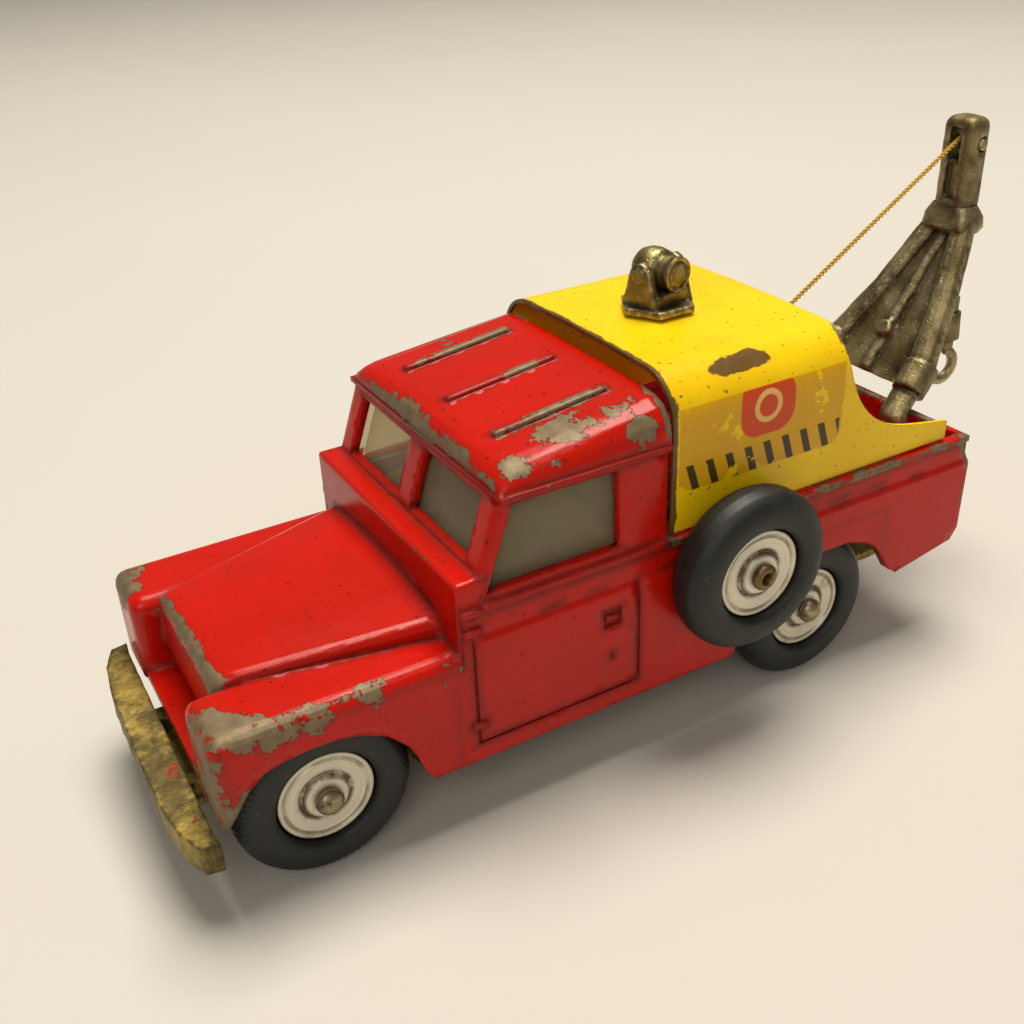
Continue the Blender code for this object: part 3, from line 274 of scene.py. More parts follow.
def canopy_enamel():
    """Yellow tinplate in painted light and shade, with an amber sticker, a plain ring emblem, a strip of
    slanted bars, a rust patch on the near side and a brown band of painted shadow along the front edge.
    """
    # the two yellows are the lit top's and the shadier side's: painted light and shade
    n = enamel("canopy_yellow_worn", rgb(0.90, 0.60, 0.006), rgb(0.82, 0.51, 0.004), 1.25, 0.20, 0.75)
    base = n.shader.inputs["Base Color"].links[0].from_socket
    place = n.vector("ADD", n.vector("MULTIPLY", n.place, (1.0 / MM,) * 3), tuple(-TRUCK_SHIFT))
    x, y, z = n.xyz(place)
    side = n.step(n.math("ABSOLUTE", x), CANOPY_HALF_WIDTH - 0.35, CANOPY_HALF_WIDTH - 0.3)
    wobble = n.math("MULTIPLY", n.math("SUBTRACT", n.noise(380.0, 4.0), 0.5), 1.4)

    def panel(cy, cz, half_y, half_z, radius, soft, wander=0.0):
        dy = n.math("SUBTRACT", n.math("ABSOLUTE", n.math("SUBTRACT", y, cy)), half_y - radius)
        dz = n.math("SUBTRACT", n.math("ABSOLUTE", n.math("SUBTRACT", z, cz)), half_z - radius)
        away = n.math("SQRT", n.math("ADD", n.math("POWER", n.math("MAXIMUM", dy, 0.0), 2.0),
                                     n.math("POWER", n.math("MAXIMUM", dz, 0.0), 2.0)))
        away = n.math("ADD", away, n.math("MULTIPLY", wobble, wander))
        return n.math("SUBTRACT", 1.0, n.step(away, radius - soft, radius + soft))

    sticker = n.math("MULTIPLY", panel(STICKER_Y, STICKER_Z, 10.9, 5.4, 2.0, 0.12, 0.7), side)
    torn = n.step(n.noise(330.0, 5.0, 0.62), 0.60, 0.63)
    sticker = n.math("MULTIPLY", sticker, n.math("SUBTRACT", 1.0, torn))
    amber = n.mix(n.noise(240.0, 4.0), rgb(0.70, 0.36, 0.006), rgb(0.55, 0.25, 0.010))
    base = n.mix(n.math("MULTIPLY", sticker, 0.8), base, amber)
    badge = n.math("MULTIPLY", panel(BADGE_Y, BADGE_Z, 3.6, 3.2, 2.3, 0.1), side)
    badge = n.math("MULTIPLY", badge, n.math("SUBTRACT", 1.0, n.step(n.noise(700.0, 4.0), 0.66, 0.69)))
    base = n.mix(badge, base, rgb(0.62, 0.065, 0.012))
    dy = n.math("SUBTRACT", y, BADGE_Y)
    dz = n.math("SUBTRACT", z, BADGE_Z)
    reach = n.math("SQRT", n.math("ADD", n.math("POWER", dy, 2.0), n.math("POWER", dz, 2.0)))
    ring = n.math("MULTIPLY", n.step(reach, 1.15, 1.3), n.math("SUBTRACT", 1.0, n.step(reach, 1.75, 1.9)))
    ring = n.math("MULTIPLY", n.math("MULTIPLY", ring, badge), 0.9)
    base = n.mix(ring, base, rgb(0.80, 0.52, 0.16))
    lean = n.math("ADD", y, n.math("MULTIPLY", z, BAR_SLANT))
    wave = n.math("ABSOLUTE", n.math("SUBTRACT", n.math("FRACT", n.math("DIVIDE", lean, BAR_PITCH)), 0.5))
    bars = n.math("SUBTRACT", 1.0, n.step(wave, 0.17, 0.21))
    band = n.math("MULTIPLY", panel(STICKER_Y + 0.2, BARS_Z, 10.4, 1.45, 0.1, 0.08), side)
    bars = n.math("MULTIPLY", n.math("MULTIPLY", bars, band), n.math("SUBTRACT", 1.0, torn))
    base = n.mix(n.math("MULTIPLY", bars, 0.92), base, rgb(0.010, 0.012, 0.016))
    patch_y = n.math("DIVIDE", n.math("SUBTRACT", y, 20.6), 4.3)
    patch_z = n.math("DIVIDE", n.math("SUBTRACT", z, 42.15), 0.75)
    patch = n.math("ADD", n.math("POWER", patch_y, 2.0), n.math("POWER", patch_z, 2.0))
    patch = n.math("ADD", patch, n.math("MULTIPLY", wobble, 1.5))
    # The brown band along the front edge is painted shadow of the gap under the overhanging edge; the
    # near-side patch is rust.
    front = n.math("ADD", n.math("SUBTRACT", y, CANOPY_FRONT_Y + 0.05), n.math("MULTIPLY", wobble, 0.7))
    near = n.step(x, 10.0, 13.0)
    rust_and_shadow = n.math("MULTIPLY", n.math("SUBTRACT", 1.0, n.step(patch, 0.75, 0.95)), near)
    rust_and_shadow = n.math("MAXIMUM", rust_and_shadow, n.math("SUBTRACT", 1.0, n.step(front, 0.35, 0.55)))
    # brown colours both the rust patch and the painted shadow band
    brown = n.mix(n.noise(800.0, 4.0), rgb(0.085, 0.042, 0.012), rgb(0.20, 0.11, 0.03))
    n.put(n.shader.inputs["Base Color"], n.mix(rust_and_shadow, base, brown))
    return n.material


def casting(name, dark, light, tarnish, rough, metallic=0.85, bump=0.00008):
    """Tarnished, slightly gilded zinc casting with a pitted skin."""
    n = Nodes(name)
    edge = n.attribute("edge_mm")
    crease = n.attribute("crease_mm")
    blotch = n.noise(230.0, 5.0, 0.6)
    grain = n.noise(1500.0, 4.0, 0.6)
    base = n.mix(n.step(blotch, 0.35, 0.68), dark, light)
    near_edge = n.math("SUBTRACT", 1.0, n.math("MULTIPLY", edge, 1.8), clamp=True)
    rub = n.math("MULTIPLY", near_edge, n.step(grain, 0.4, 0.6))
    base = n.mix(n.math("MULTIPLY", rub, 0.6), base, tarnish)
    hollow = n.math("SUBTRACT", 1.0, crease, clamp=True)
    base = n.mix(n.math("MULTIPLY", hollow, 0.7), base, GRIME)
    n.set(Base_Color=base)
    n.shader.inputs["Metallic"].default_value = metallic
    n.set(Roughness=n.blend(n.noise(420.0, 5.0), rough - 0.1, rough + 0.2))
    pits = n.math("SUBTRACT", n.math("MULTIPLY", blotch, 1.3), n.step(n.cells(1300.0), 0.25, 0.0))
    n.set(Normal=n.bump(n.math("ADD", pits, grain), bump, 0.8, n.rounded(0.0003)))
    return n.material


def bumper_metal():
    """Base plate: bare on the bumper's face, with leftovers of paint and dark tarnish."""
    n = Nodes("base_plate_gilt")
    edge = n.attribute("edge_mm")
    blotch = n.noise(190.0, 5.0, 0.65)
    grain = n.noise(1100.0, 4.0)
    base = n.mix(n.step(blotch, 0.40, 0.60), rgb(0.11, 0.080, 0.020), rgb(0.36, 0.26, 0.055))
    rub = n.math("MULTIPLY", n.math("SUBTRACT", 1.0, edge, clamp=True), n.step(grain, 0.45, 0.6))
    base = n.mix(n.math("MULTIPLY", rub, 0.7), base, rgb(0.045, 0.035, 0.020))
    paint = n.step(n.noise(300.0, 4.0), 0.62, 0.66)
    base = n.mix(n.math("MULTIPLY", paint, 0.7), base, rgb(0.22, 0.02, 0.008))
    n.set(Base_Color=base)
    n.shader.inputs["Metallic"].default_value = 0.55
    n.set(Roughness=n.blend(grain, 0.38, 0.68))
    n.set(Normal=n.bump(n.math("ADD", blotch, grain), 0.00014, 0.9, n.rounded(0.0004)))
    return n.material


def rubber():
    n = Nodes("tyre_rubber_dusty")
    dust = n.step(n.noise(150.0, 6.0, 0.7), 0.45, 0.8)
    base = n.mix(dust, rgb(0.0045, 0.0050, 0.0042), rgb(0.014, 0.015, 0.011))
    scuff = n.step(n.noise(900.0, 3.0), 0.66, 0.72)
    n.set(Base_Color=n.mix(n.math("MULTIPLY", scuff, 0.5), base, rgb(0.04, 0.038, 0.028)))
    n.set(Roughness=n.blend(n.noise(300.0), 0.40, 0.66))
    n.set(Normal=n.bump(n.noise(1400.0, 4.0), 0.00004, 0.6))
    return n.material


def spun(name, axis_y, axis_z):
    """Spun hub: turning marks round its own axis and grime in the groove."""
    n = Nodes(name)
    place = n.vector("SUBTRACT", n.place, tuple(at(0.0, axis_y, axis_z)))
    x, y, z = n.xyz(place)
    reach = n.math("SQRT", n.math("ADD", n.math("POWER", y, 2.0), n.math("POWER", z, 2.0)))
    mm = n.math("MULTIPLY", reach, 1000.0)
    marks = n.tree.nodes.new("ShaderNodeTexNoise")
    marks.noise_dimensions = "1D"
    n.put(marks.inputs["W"], n.math("MULTIPLY", mm, 5.0))
    marks = marks.outputs["Fac"]
    base = n.mix(marks, rgb(0.66, 0.60, 0.46), rgb(0.84, 0.78, 0.64))
    groove = n.math("ABSOLUTE", n.math("SUBTRACT", mm, 2.55))
    groove = n.math("SUBTRACT", 1.0, n.step(groove, 0.12, 0.55))
    outer = n.math("SUBTRACT", 1.0, n.step(n.math("ABSOLUTE", n.math("SUBTRACT", mm, 4.35)), 0.05, 0.35))
    patchy = n.step(n.noise(420.0, 5.0, 0.65), 0.30, 0.52)
    dirt = n.math("MULTIPLY", n.math("MAXIMUM", groove, n.math("MULTIPLY", outer, 0.6)), patchy)
    stain = n.step(n.noise(260.0, 5.0, 0.65), 0.56, 0.74)
    base = n.mix(n.math("MULTIPLY", stain, 0.65), base, rgb(0.26, 0.18, 0.085))
    n.set(Base_Color=n.mix(n.math("MULTIPLY", dirt, 0.92), base, rgb(0.09, 0.055, 0.02)))
    n.shader.inputs["Metallic"].default_value = 0.55
    n.set(Roughness=n.blend(n.noise(700.0), 0.28, 0.5))
    n.set(Normal=n.bump(marks, 0.00004, 0.7))
    return n.material


def steel(name="axle_steel_dull", colour=(0.36, 0.30, 0.19), rough=0.38):
    n = Nodes(name)
    spots = n.step(n.noise(700.0, 5.0, 0.65), 0.45, 0.7)
    n.set(Base_Color=n.mix(spots, rgb(*colour), rgb(colour[0] * 0.35, colour[1] * 0.28, colour[2] * 0.2)))
    n.shader.inputs["Metallic"].default_value = 0.9
    n.set(Roughness=n.blend(spots, rough, rough + 0.25))
    n.set(Normal=n.bump(n.noise(1200.0, 4.0), 0.00005, 0.6))
    return n.material


def clear_plastic():
    n = Nodes("window_plastic_cloudy")
    cloud = n.noise(160.0, 5.0, 0.6)
    n.set(Base_Color=n.mix(cloud, rgb(0.62, 0.55, 0.36), rgb(0.80, 0.74, 0.55)))
    n.set(Roughness=n.blend(n.noise(500.0, 5.0), 0.05, 0.22))
    n.shader.inputs["Transmission Weight"].default_value = 0.82
    n.shader.inputs["IOR"].default_value = 1.12
    n.set(Normal=n.bump(n.noise(120.0, 2.0), 0.00012, 0.4))
    return n.material


def moulded(name, colour, shade, rough):
    n = Nodes(name)
    n.set(Base_Color=n.mix(n.noise(120.0, 4.0), rgb(*colour), rgb(*shade)))
    n.set(Roughness=n.blend(n.noise(600.0), rough - 0.08, rough + 0.12))
    n.set(Normal=n.bump(n.noise(1000.0, 3.0), 0.00004, 0.5, n.rounded(0.0003)))
    return n.material


def yarn():
    n = Nodes("thread_cotton_yellow")
    hairs = n.noise(5200.0, 3.0, 0.6)
    base = n.mix(n.noise(500.0, 4.0), rgb(0.60, 0.33, 0.015), rgb(0.78, 0.47, 0.03))
    n.set(Base_Color=n.mix(n.step(hairs, 0.35, 0.6), n.mix(0.35, base, rgb(0.2, 0.1, 0.01)), base))
    n.set(Roughness=n.span(hairs, 0.75, 0.95))
    n.shader.inputs["Sheen Weight"].default_value = 0.3
    n.set(Normal=n.bump(hairs, 0.00004, 0.8))
    return n.material


def lamp_silver():
    n = Nodes("headlamp_silver")
    spots = n.step(n.noise(900.0, 4.0), 0.5, 0.7)
    n.set(Base_Color=n.mix(spots, rgb(0.62, 0.58, 0.5), rgb(0.25, 0.2, 0.14)))
    n.shader.inputs["Metallic"].default_value = 0.7
    n.set(Roughness=n.blend(spots, 0.28, 0.5))
    n.set(Normal=n.bump(n.noise(1500.0), 0.00003, 0.5))
    return n.material


def paper_floor():
    n = Nodes("floor_pale_card")
    tone = n.noise(5.0, 3.0)
    n.set(Base_Color=n.mix(tone, rgb(0.555, 0.530, 0.485), rgb(0.595, 0.568, 0.520)))
    n.set(Roughness=n.span(n.noise(40.0), 0.72, 0.86))
    n.set(Normal=n.bump(n.noise(900.0, 4.0), 0.00003, 0.3))
    return n.material


# ---------------------------------------------------------------- shape helpers

def new_object(name, mesh):
    made = bpy.data.objects.new(name, mesh)
    bpy.context.scene.collection.objects.link(made)
    return made


def mesh_from(shape, name, smooth=None):
    """Frees the bmesh and returns its mesh, shaded smooth below this angle in degrees."""
    mesh = bpy.data.meshes.new(name)
    shape.to_mesh(mesh)
    shape.free()
    if smooth:
        mesh.shade_smooth()
        mesh.set_sharp_from_angle(angle=math.radians(smooth))
    return mesh


def dense_copy(node, longest):
    """The CAD node's mesh, welded, with every edge split until none is longer than this, in mm."""
    shape = bmesh.new()
    shape.from_mesh(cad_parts[node].data)
    bmesh.ops.remove_doubles(shape, verts=shape.verts, dist=2e-6)
    bmesh.ops.dissolve_degenerate(shape, edges=shape.edges, dist=1e-6)
    for _ in range(7):
        long_edges = [edge for edge in shape.edges if edge.calc_length() > longest * MM]
        if not long_edges:
            break
        bmesh.ops.subdivide_edges(shape, edges=long_edges, cuts=1)
        bmesh.ops.triangulate(shape, faces=[face for face in shape.faces if len(face.verts) > 3])
    return shape


def distances(shape, keep):
    """Each vertex's distance in mm to the nearest edge that keep() accepts, up to 3 mm."""
    marks = []
    for edge in shape.edges:
        if len(edge.link_faces) == 2 and keep(edge.calc_face_angle_signed(0.0)):
            a, b = (vert.co for vert in edge.verts)
            count = max(1, int(edge.calc_length() / (0.3 * MM)))
            marks.extend(a.lerp(b, i / count) for i in range(count + 1))
    if not marks:
        return np.full(len(shape.verts), 3.0)
    tree = kdtree.KDTree(len(marks))
    for i, mark in enumerate(marks):
        tree.insert(mark, i)
    tree.balance()
    return np.array([min(3.0, tree.find(vert.co)[2] / MM) for vert in shape.verts])


def zone_values(shape, zones):
    """Wear from named boxes: (centre, half sizes, strength), all in truck millimetres."""
    points = np.array([vert.co for vert in shape.verts]) / MM - np.array(TRUCK_SHIFT)
    total = np.zeros(len(points))
    for centre, half, strength in zones:
        away = np.linalg.norm((points - np.array(centre)) / np.array(half), axis=1)
        fall = np.clip(1.6 - away, 0.0, 1.0)
        total = np.maximum(total, strength * fall) if strength > 0 else total + strength * fall
    return total


def add_attribute(mesh, name, values):
    attribute = mesh.attributes.new(name, "FLOAT", "POINT")
    attribute.data.foreach_set("value", np.asarray(values, np.float32))


def finish_shape(name, shape, zones=(), smooth=32.0, lumps=0.0):
    sharp = math.radians(28.0)
    convex = distances(shape, lambda angle: angle > sharp)
    concave = distances(shape, lambda angle: angle < -sharp)
    wear = zone_values(shape, zones)
    if lumps:
        shape.normal_update()
        for vert in shape.verts:
            p = vert.co / MM
            wave = math.sin(p.x * 1.9 + 0.7 * math.sin(p.z * 1.3)) * math.sin(p.y * 1.3 + 1.1)
            wave += 0.6 * math.sin(p.z * 2.7 + p.x) * math.sin(p.x * 3.1 + p.y * 0.6)
            vert.co += vert.normal * (wave * lumps * MM)
    mesh = mesh_from(shape, name, smooth)
    add_attribute(mesh, "edge_mm", convex)
    add_attribute(mesh, "crease_mm", concave)
    add_attribute(mesh, "wear", wear)
    return new_object(name, mesh)


def settle(piece, body, material, slot, *nodes):
    piece.data.materials.clear()
    piece.data.materials.append(material)
    if nodes:
        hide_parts(*nodes)
    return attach(piece, body)


def skin(name, node, body, material, slot, longest=1.2, zones=(), smooth=32.0, lumps=0.0):
    piece = finish_shape(name, dense_copy(node, longest), zones, smooth, lumps)
    return settle(piece, body, material, slot, node)


def revolve(name, profile, centre, steps, shape_at=None):
    """A closed (radius, x) profile in mm turned about X, with shape_at(i, angle) radius changes."""
    count = len(profile)
    points = []
    for step in range(steps):
        angle = math.tau * step / steps
        for i, (r, x) in enumerate(profile):
            extra = shape_at(i, angle) if shape_at else 0.0
            points.append(at(centre[0] + x, centre[1] + (r + extra) * math.cos(angle),
                             centre[2] + (r + extra) * math.sin(angle)))
    faces = []
    for step in range(steps):
        following = (step + 1) % steps
        for i in range(count):
            j = (i + 1) % count
            faces.append((step * count + i, step * count + j, following * count + j, following * count + i))
    mesh = bpy.data.meshes.new(name)
    mesh.from_pydata(points, [], faces)
    shape = bmesh.new()
    shape.from_mesh(mesh)
    bmesh.ops.remove_doubles(shape, verts=shape.verts, dist=1e-7)
    bmesh.ops.recalc_face_normals(shape, faces=shape.faces)
    bpy.data.meshes.remove(mesh)
    return new_object(name, mesh_from(shape, name, 40.0))


def smooth_line(points, rounds=2):
    """Corner cutting on an open or closed outline, ends kept."""
    for _ in range(rounds):
        cut = [points[0]]
        for a, b in zip(points, points[1:]):
            cut.append(tuple(0.75 * p + 0.25 * q for p, q in zip(a, b)))
            cut.append(tuple(0.25 * p + 0.75 * q for p, q in zip(a, b)))
        points = cut + [points[-1]]
    return points


def twisted(name, route, radius, strands=2, turn_mm=1.15, steps_per_mm=7.0, sides=8):
    """Strands wound round each other along a route of points in truck millimetres."""
    points = [Vector(p) for p in route]
    lengths = [0.0]
    for a, b in zip(points, points[1:]):
        lengths.append(lengths[-1] + (b - a).length)
    total = lengths[-1]
    count = max(8, int(total * steps_per_mm))
    shape = bmesh.new()
    for strand in range(strands):
        rings = []
        for step in range(count + 1):
            along = total * step / count
            k = max(0, min(len(points) - 2, sum(1 for length in lengths[1:-1] if length < along)))
            a, b = points[k], points[k + 1]
            place = a.lerp(b, (along - lengths[k]) / max(1e-9, (b - a).length))
            forward = (b - a).normalized()
            across = forward.cross(Vector((1.0, 0.0, 0.0)))
            across = across.normalized() if across.length > 1e-3 else Vector((0.0, 1.0, 0.0))
            up = forward.cross(across).normalized()
            phase = math.tau * (along / turn_mm + strand / strands)
            offset = (across * math.cos(phase) + up * math.sin(phase)) * radius * 0.48
            thick = radius * 0.56
            ring = []
            for side in range(sides):
                angle = math.tau * side / sides
                p = place + offset + (across * math.cos(angle) + up * math.sin(angle)) * thick
                ring.append(shape.verts.new(at(*p)))
            rings.append(ring)
        for low, high in zip(rings, rings[1:]):
            for i in range(sides):
                j = (i + 1) % sides
                shape.faces.new((low[i], low[j], high[j], high[i]))
        shape.faces.new(rings[0])
        shape.faces.new(rings[-1])
    bmesh.ops.recalc_face_normals(shape, faces=shape.faces)
    return new_object(name, mesh_from(shape, name, 60.0))


# ---------------------------------------------------------------- pieces

BODY_WEAR = (
    ((15.5, -4.0, 38.6), (2.0, 5.0, 1.8), 0.9),
    ((14.6, -38.6, 16.0), (3.4, 2.4, 5.5), 1.15),
    ((15.6, -36.0, 20.6), (2.6, 3.4, 1.6), 1.1),
    ((17.0, -24.0, 21.0), (1.4, 3.2, 1.4), 1.0),
    ((17.2, -16.5, 19.5), (1.4, 2.0, 2.4), 0.75),
    ((-5.0, -35.6, 22.0), (4.5, 1.4, 1.4), 0.6),
    ((7.6, -36.0, 21.4), (2.6, 1.8, 1.8), 0.9),
    ((-15.6, -37.5, 20.4), (2.4, 2.6, 2.0), 1.1),
    ((13.5, 0.5, 40.0), (3.2, 10.5, 1.7), 1.0),
    ((16.0, 7.5, 38.8), (2.2, 3.0, 1.6), 0.95),
    ((-9.9, 0.5, 41.0), (1.3, 8.0, 1.0), 0.70),
    ((0.0, 0.5, 41.0), (1.3, 8.0, 1.0), 0.55),
    ((9.9, 0.5, 41.0), (1.3, 8.0, 1.0), 0.80),
    ((0.0, -8.2, 38.0), (15.0, 1.2, 1.2), 0.80),
    ((13.5, -38.0, 19.5), (4.5, 2.4, 3.0), 1.0),
    ((-13.5, -38.0, 19.5), (4.5, 2.4, 3.0), 0.9),
    ((16.8, -31.0, 20.0), (1.6, 8.0, 2.0), 0.95),
    ((17.0, -22.0, 19.8), (1.6, 6.0, 1.8), 0.7),
    ((-17.0, -30.0, 20.0), (1.6, 9.0, 2.0), 0.7),
    ((0.0, -35.8, 21.6), (9.0, 1.6, 1.6), 0.75),
    ((13.0, -39.0, 11.0), (5.0, 2.0, 5.0), 0.8),
    ((17.4, 30.0, 25.6), (1.4, 24.0, 0.9), 0.45),
    ((17.4, 52.5, 22.0), (1.4, 2.6, 5.0), 0.6),
    ((0.0, 54.0, 25.6), (18.0, 1.4, 1.4), 0.5),
    ((-13.5, 2.0, 40.0), (3.0, 9.0, 1.7), 0.6),
    ((17.6, -2.0, 15.0), (2.0, 9.0, 5.0), -0.10),
)

CANOPY_WEAR = (
    ((14.5, 12.0, 40.5), (3.5, 1.6, 5.0), 0.8),
    ((0.0, 11.0, 43.4), (16.0, 1.3, 1.0), 0.7),
    ((14.0, 34.0, 41.0), (3.5, 1.8, 3.0), 0.7),
    ((14.0, 26.0, 42.0), (3.0, 8.0, 1.6), 0.45),
    ((16.8, 46.0, 27.5), (1.0, 6.0, 1.4), 0.55),
    ((0.0, 26.0, 43.4), (12.0, 12.0, 1.0), 0.12),
)


def canopy_section():
    """(x, z) up one side, over the top and down the other side."""
    lower = [(CANOPY_HALF_WIDTH, CANOPY_FOOT_Z + 0.11 * i) for i in range(42)]
    flank = [(CANOPY_HALF_WIDTH, 26.5 + 11.2 * step / 14) for step in range(15)]
    top_z = CANOPY_TOP_Z - CANOPY_CROWN
    corner = []
    for step in range(1, 19):
        angle = math.radians(90.0 * step / 18)
        corner.append((CANOPY_HALF_WIDTH - CANOPY_CORNER + CANOPY_CORNER * math.cos(angle),
                       top_z - CANOPY_CORNER + CANOPY_CORNER * math.sin(angle)))
    flat = CANOPY_HALF_WIDTH - CANOPY_CORNER
    roof = [(flat * (1.0 - step / 7), top_z + CANOPY_CROWN * min(1.0, step / 5)) for step in range(1, 8)]
    half = lower + [point for point in flank if point[1] > lower[-1][1]] + corner + roof
    return half + [(-x, z) for x, z in reversed(half[:-1])]


def canopy_rear():
    """(y, z) along the curved rear edge, from the foot to the roof."""
    return smooth_line([(60.0, 28.3), (51.5, 28.3), (50.3, 28.5), (45.2, 29.4), (41.8, 30.2), (39.6, 31.3),
                        (37.8, 32.6), (36.1, 34.6), (35.0, 36.8), (34.2, 39.2), (33.9, 41.2), (34.2, 43.0),
                        (34.2, 50.0)])


def bent_sheet(columns=48):
    """The canopy as one sheet with its real thickness, as a mesh."""
    rear = canopy_rear()
    rear_z = [z for y, z in rear]
    rear_y = [y for y, z in rear]
    shape = bmesh.new()
    rows = []
    for x, z in canopy_section():
        length = min(CANOPY_END_Y, float(np.interp(z, rear_z, rear_y))) - CANOPY_FRONT_Y
        rows.append([shape.verts.new(at(x, CANOPY_FRONT_Y + length * c / columns, z))
                     for c in range(columns + 1)])
    for low, high in zip(rows, rows[1:]):
        for c in range(columns):
            shape.faces.new((low[c], low[c + 1], high[c + 1], high[c]))
    bmesh.ops.recalc_face_normals(shape, faces=shape.faces)
    raw = new_object("canopy_sheet_raw", mesh_from(shape, "canopy_sheet_raw"))
    thick = raw.modifiers.new("thickness", "SOLIDIFY")
    thick.thickness = SHEET * MM
    thick.offset = -1.0
    bpy.context.view_layer.update()
    solid = bpy.data.meshes.new_from_object(raw.evaluated_get(bpy.context.evaluated_depsgraph_get()))
    bpy.data.objects.remove(raw)
    return solid


def make_canopy():
    """One bent sheet with four tabs that hook into the load bed."""
    shape = bmesh.new()
    shape.from_mesh(bent_sheet())
    top = max(vert.co.z for vert in shape.verts)
    if top > (CANOPY_TOP_Z + 0.1) * MM:
        bmesh.ops.translate(shape, verts=shape.verts, vec=(0.0, 0.0, CANOPY_TOP_Z * MM - top))
    for side in (-1.0, 1.0):
        for y in (16.0, 46.5):
            for size, x, z in (((SHEET, 4.0, 4.2), 15.8, 24.6), ((1.1, 4.0, SHEET), 16.1, 26.5)):
                tab = bmesh.ops.create_cube(shape, size=MM)["verts"]
                bmesh.ops.scale(shape, verts=tab, vec=size)
                bmesh.ops.translate(shape, verts=tab, vec=at(side * x, y, z))
    piece = finish_shape("canopy_tinplate", shape, CANOPY_WEAR, 40.0)
    return settle(piece, "chassis", canopy_enamel(), "yellow_enamel", "canopy")


def tyre_outline():
    """(radius, x) round the left-hand tyre; the tread's points come first, so that they can be patterned."""
    middle = TYRE_PROUD - TYRE_HALF_WIDTH
    crown = []
    for step in range(TREAD_POINTS):
        angle = math.radians(86.0 * (step - 10) / 10)
        radius = TYRE_RADIUS - TYRE_HALF_WIDTH * (1.0 - math.cos(angle)) ** 1.25
        crown.append((radius, middle + TYRE_HALF_WIDTH * math.sin(angle)))
    inner = [(5.9, 0.82), (5.45, 0.6), (5.27, 0.25), (5.25, -0.8), (4.5, -1.2), (4.5, -2.9), (4.9, -3.2),
             (4.9, -3.9), (5.4, -4.2)]
    return crown + inner


def block_tread(i, angle):
    """Staggered blocks across the tread."""
    if i >= TREAD_POINTS or abs(i - 10) > 7:
        return 0.0
    row = math.floor((i + 1) / 4.0)
    return -0.16 if math.sin(BLOCK_WAVES * angle + row * math.pi) < -0.25 else 0.0


def ring_tread(i, angle):
    """Shallow grooves round the tyre."""
    return -0.07 if i < TREAD_POINTS and i % 3 == 0 and abs(i - 10) <= 8 else 0.0


def make_tyre(name, node, body, centre, side, tread, material):
    outline = [(r, side * x) for r, x in tyre_outline()]
    tyre = revolve(name, outline, centre, 432 if tread is block_tread else 120, tread)
    return settle(tyre, body, material, "rubber", node)


def make_hub(name, node, body, centre, side, material):
    bore = [(1.15, -3.7), (1.15, 0.30), (1.3, 0.35), (2.0, 0.34), (2.2, 0.26)]
    groove = [(2.35, 0.0), (2.45, -0.22), (2.65, -0.30), (2.8, -0.20), (2.95, -0.12), (3.2, -0.10)]
    rings = [(3.6, -0.02), (3.75, -0.06), (3.85, -0.02), (4.1, 0.0), (4.25, -0.12), (4.4, -0.14)]
    rim = [(4.5, -0.02), (4.62, 0.06), (4.85, 0.06), (4.95, -0.02), (4.95, -0.5), (4.2, -0.9), (4.2, -3.1)]
    back = [(4.6, -3.4), (4.6, -3.7), (3.4, -3.7), (2.6, -3.2), (1.8, -3.7)]
    profile = bore + groove + rings + rim + back
    hub = revolve(name, [(r, side * x) for r, x in profile], centre, 96)
    return settle(hub, body, material, "spun_metal", node)


def make_axle(name, node, body, y, play, material):
    head = [(0.02, 1.2), (0.45, 1.17), (0.85, 1.05), (1.15, 0.86), (1.36, 0.6), (1.45, 0.35), (1.45, 0.06),
            (1.38, 0.0), (0.8, 0.0), (0.8, -0.4)]
    face = HUB_FACE_X + 0.65
    left = [(r, face + x) for r, x in head]
    axle = revolve(name, left + [(r, -x) for r, x in reversed(left)] + [(0.02, 0.0)], (play, y, AXLE_Z), 48)
    return settle(axle, body, material, "steel", node)


def make_wheels():
    tyre_black = rubber()
    axle_metal = steel()
    ends = (("front", FRONT_AXLE_Y, -SIDE_PLAY, block_tread), ("rear", REAR_AXLE_Y, SIDE_PLAY, ring_tread))
    for end, y, play, tread in ends:
        metal = spun(f"hub_spun_{end}", y, AXLE_Z)
        for side_name, side in (("left", 1.0), ("right", -1.0)):
            centre = (play + side * HUB_FACE_X, y, AXLE_Z)
            body = f"{end}_{side_name}_wheel"
            node = f"{end}_{side_name}"
            make_tyre(f"{body}_tyre_detail", f"{node}_tyre", body, centre, side, tread, tyre_black)
            make_hub(f"{body}_hub_detail", f"{node}_hub", body, centre, side, metal)
        make_axle(f"{end}_axle_detail", f"{end}_axle", f"{end}_axle_unit", y, play, axle_metal)
        skin(f"{end}_spring_detail", f"{end}_spring", f"{end}_axle_unit", axle_metal, "steel", 1.5,
             smooth=40.0)
    centre = (SPARE_FACE_X, WINCH_Y, WINCH_Z)
    make_tyre("spare_tyre_detail", "spare_tyre", "winch", centre, 1.0, ring_tread, tyre_black)
    make_hub("spare_hub_detail", "spare_hub", "winch", centre, 1.0, spun("hub_spun_spare", WINCH_Y, WINCH_Z))


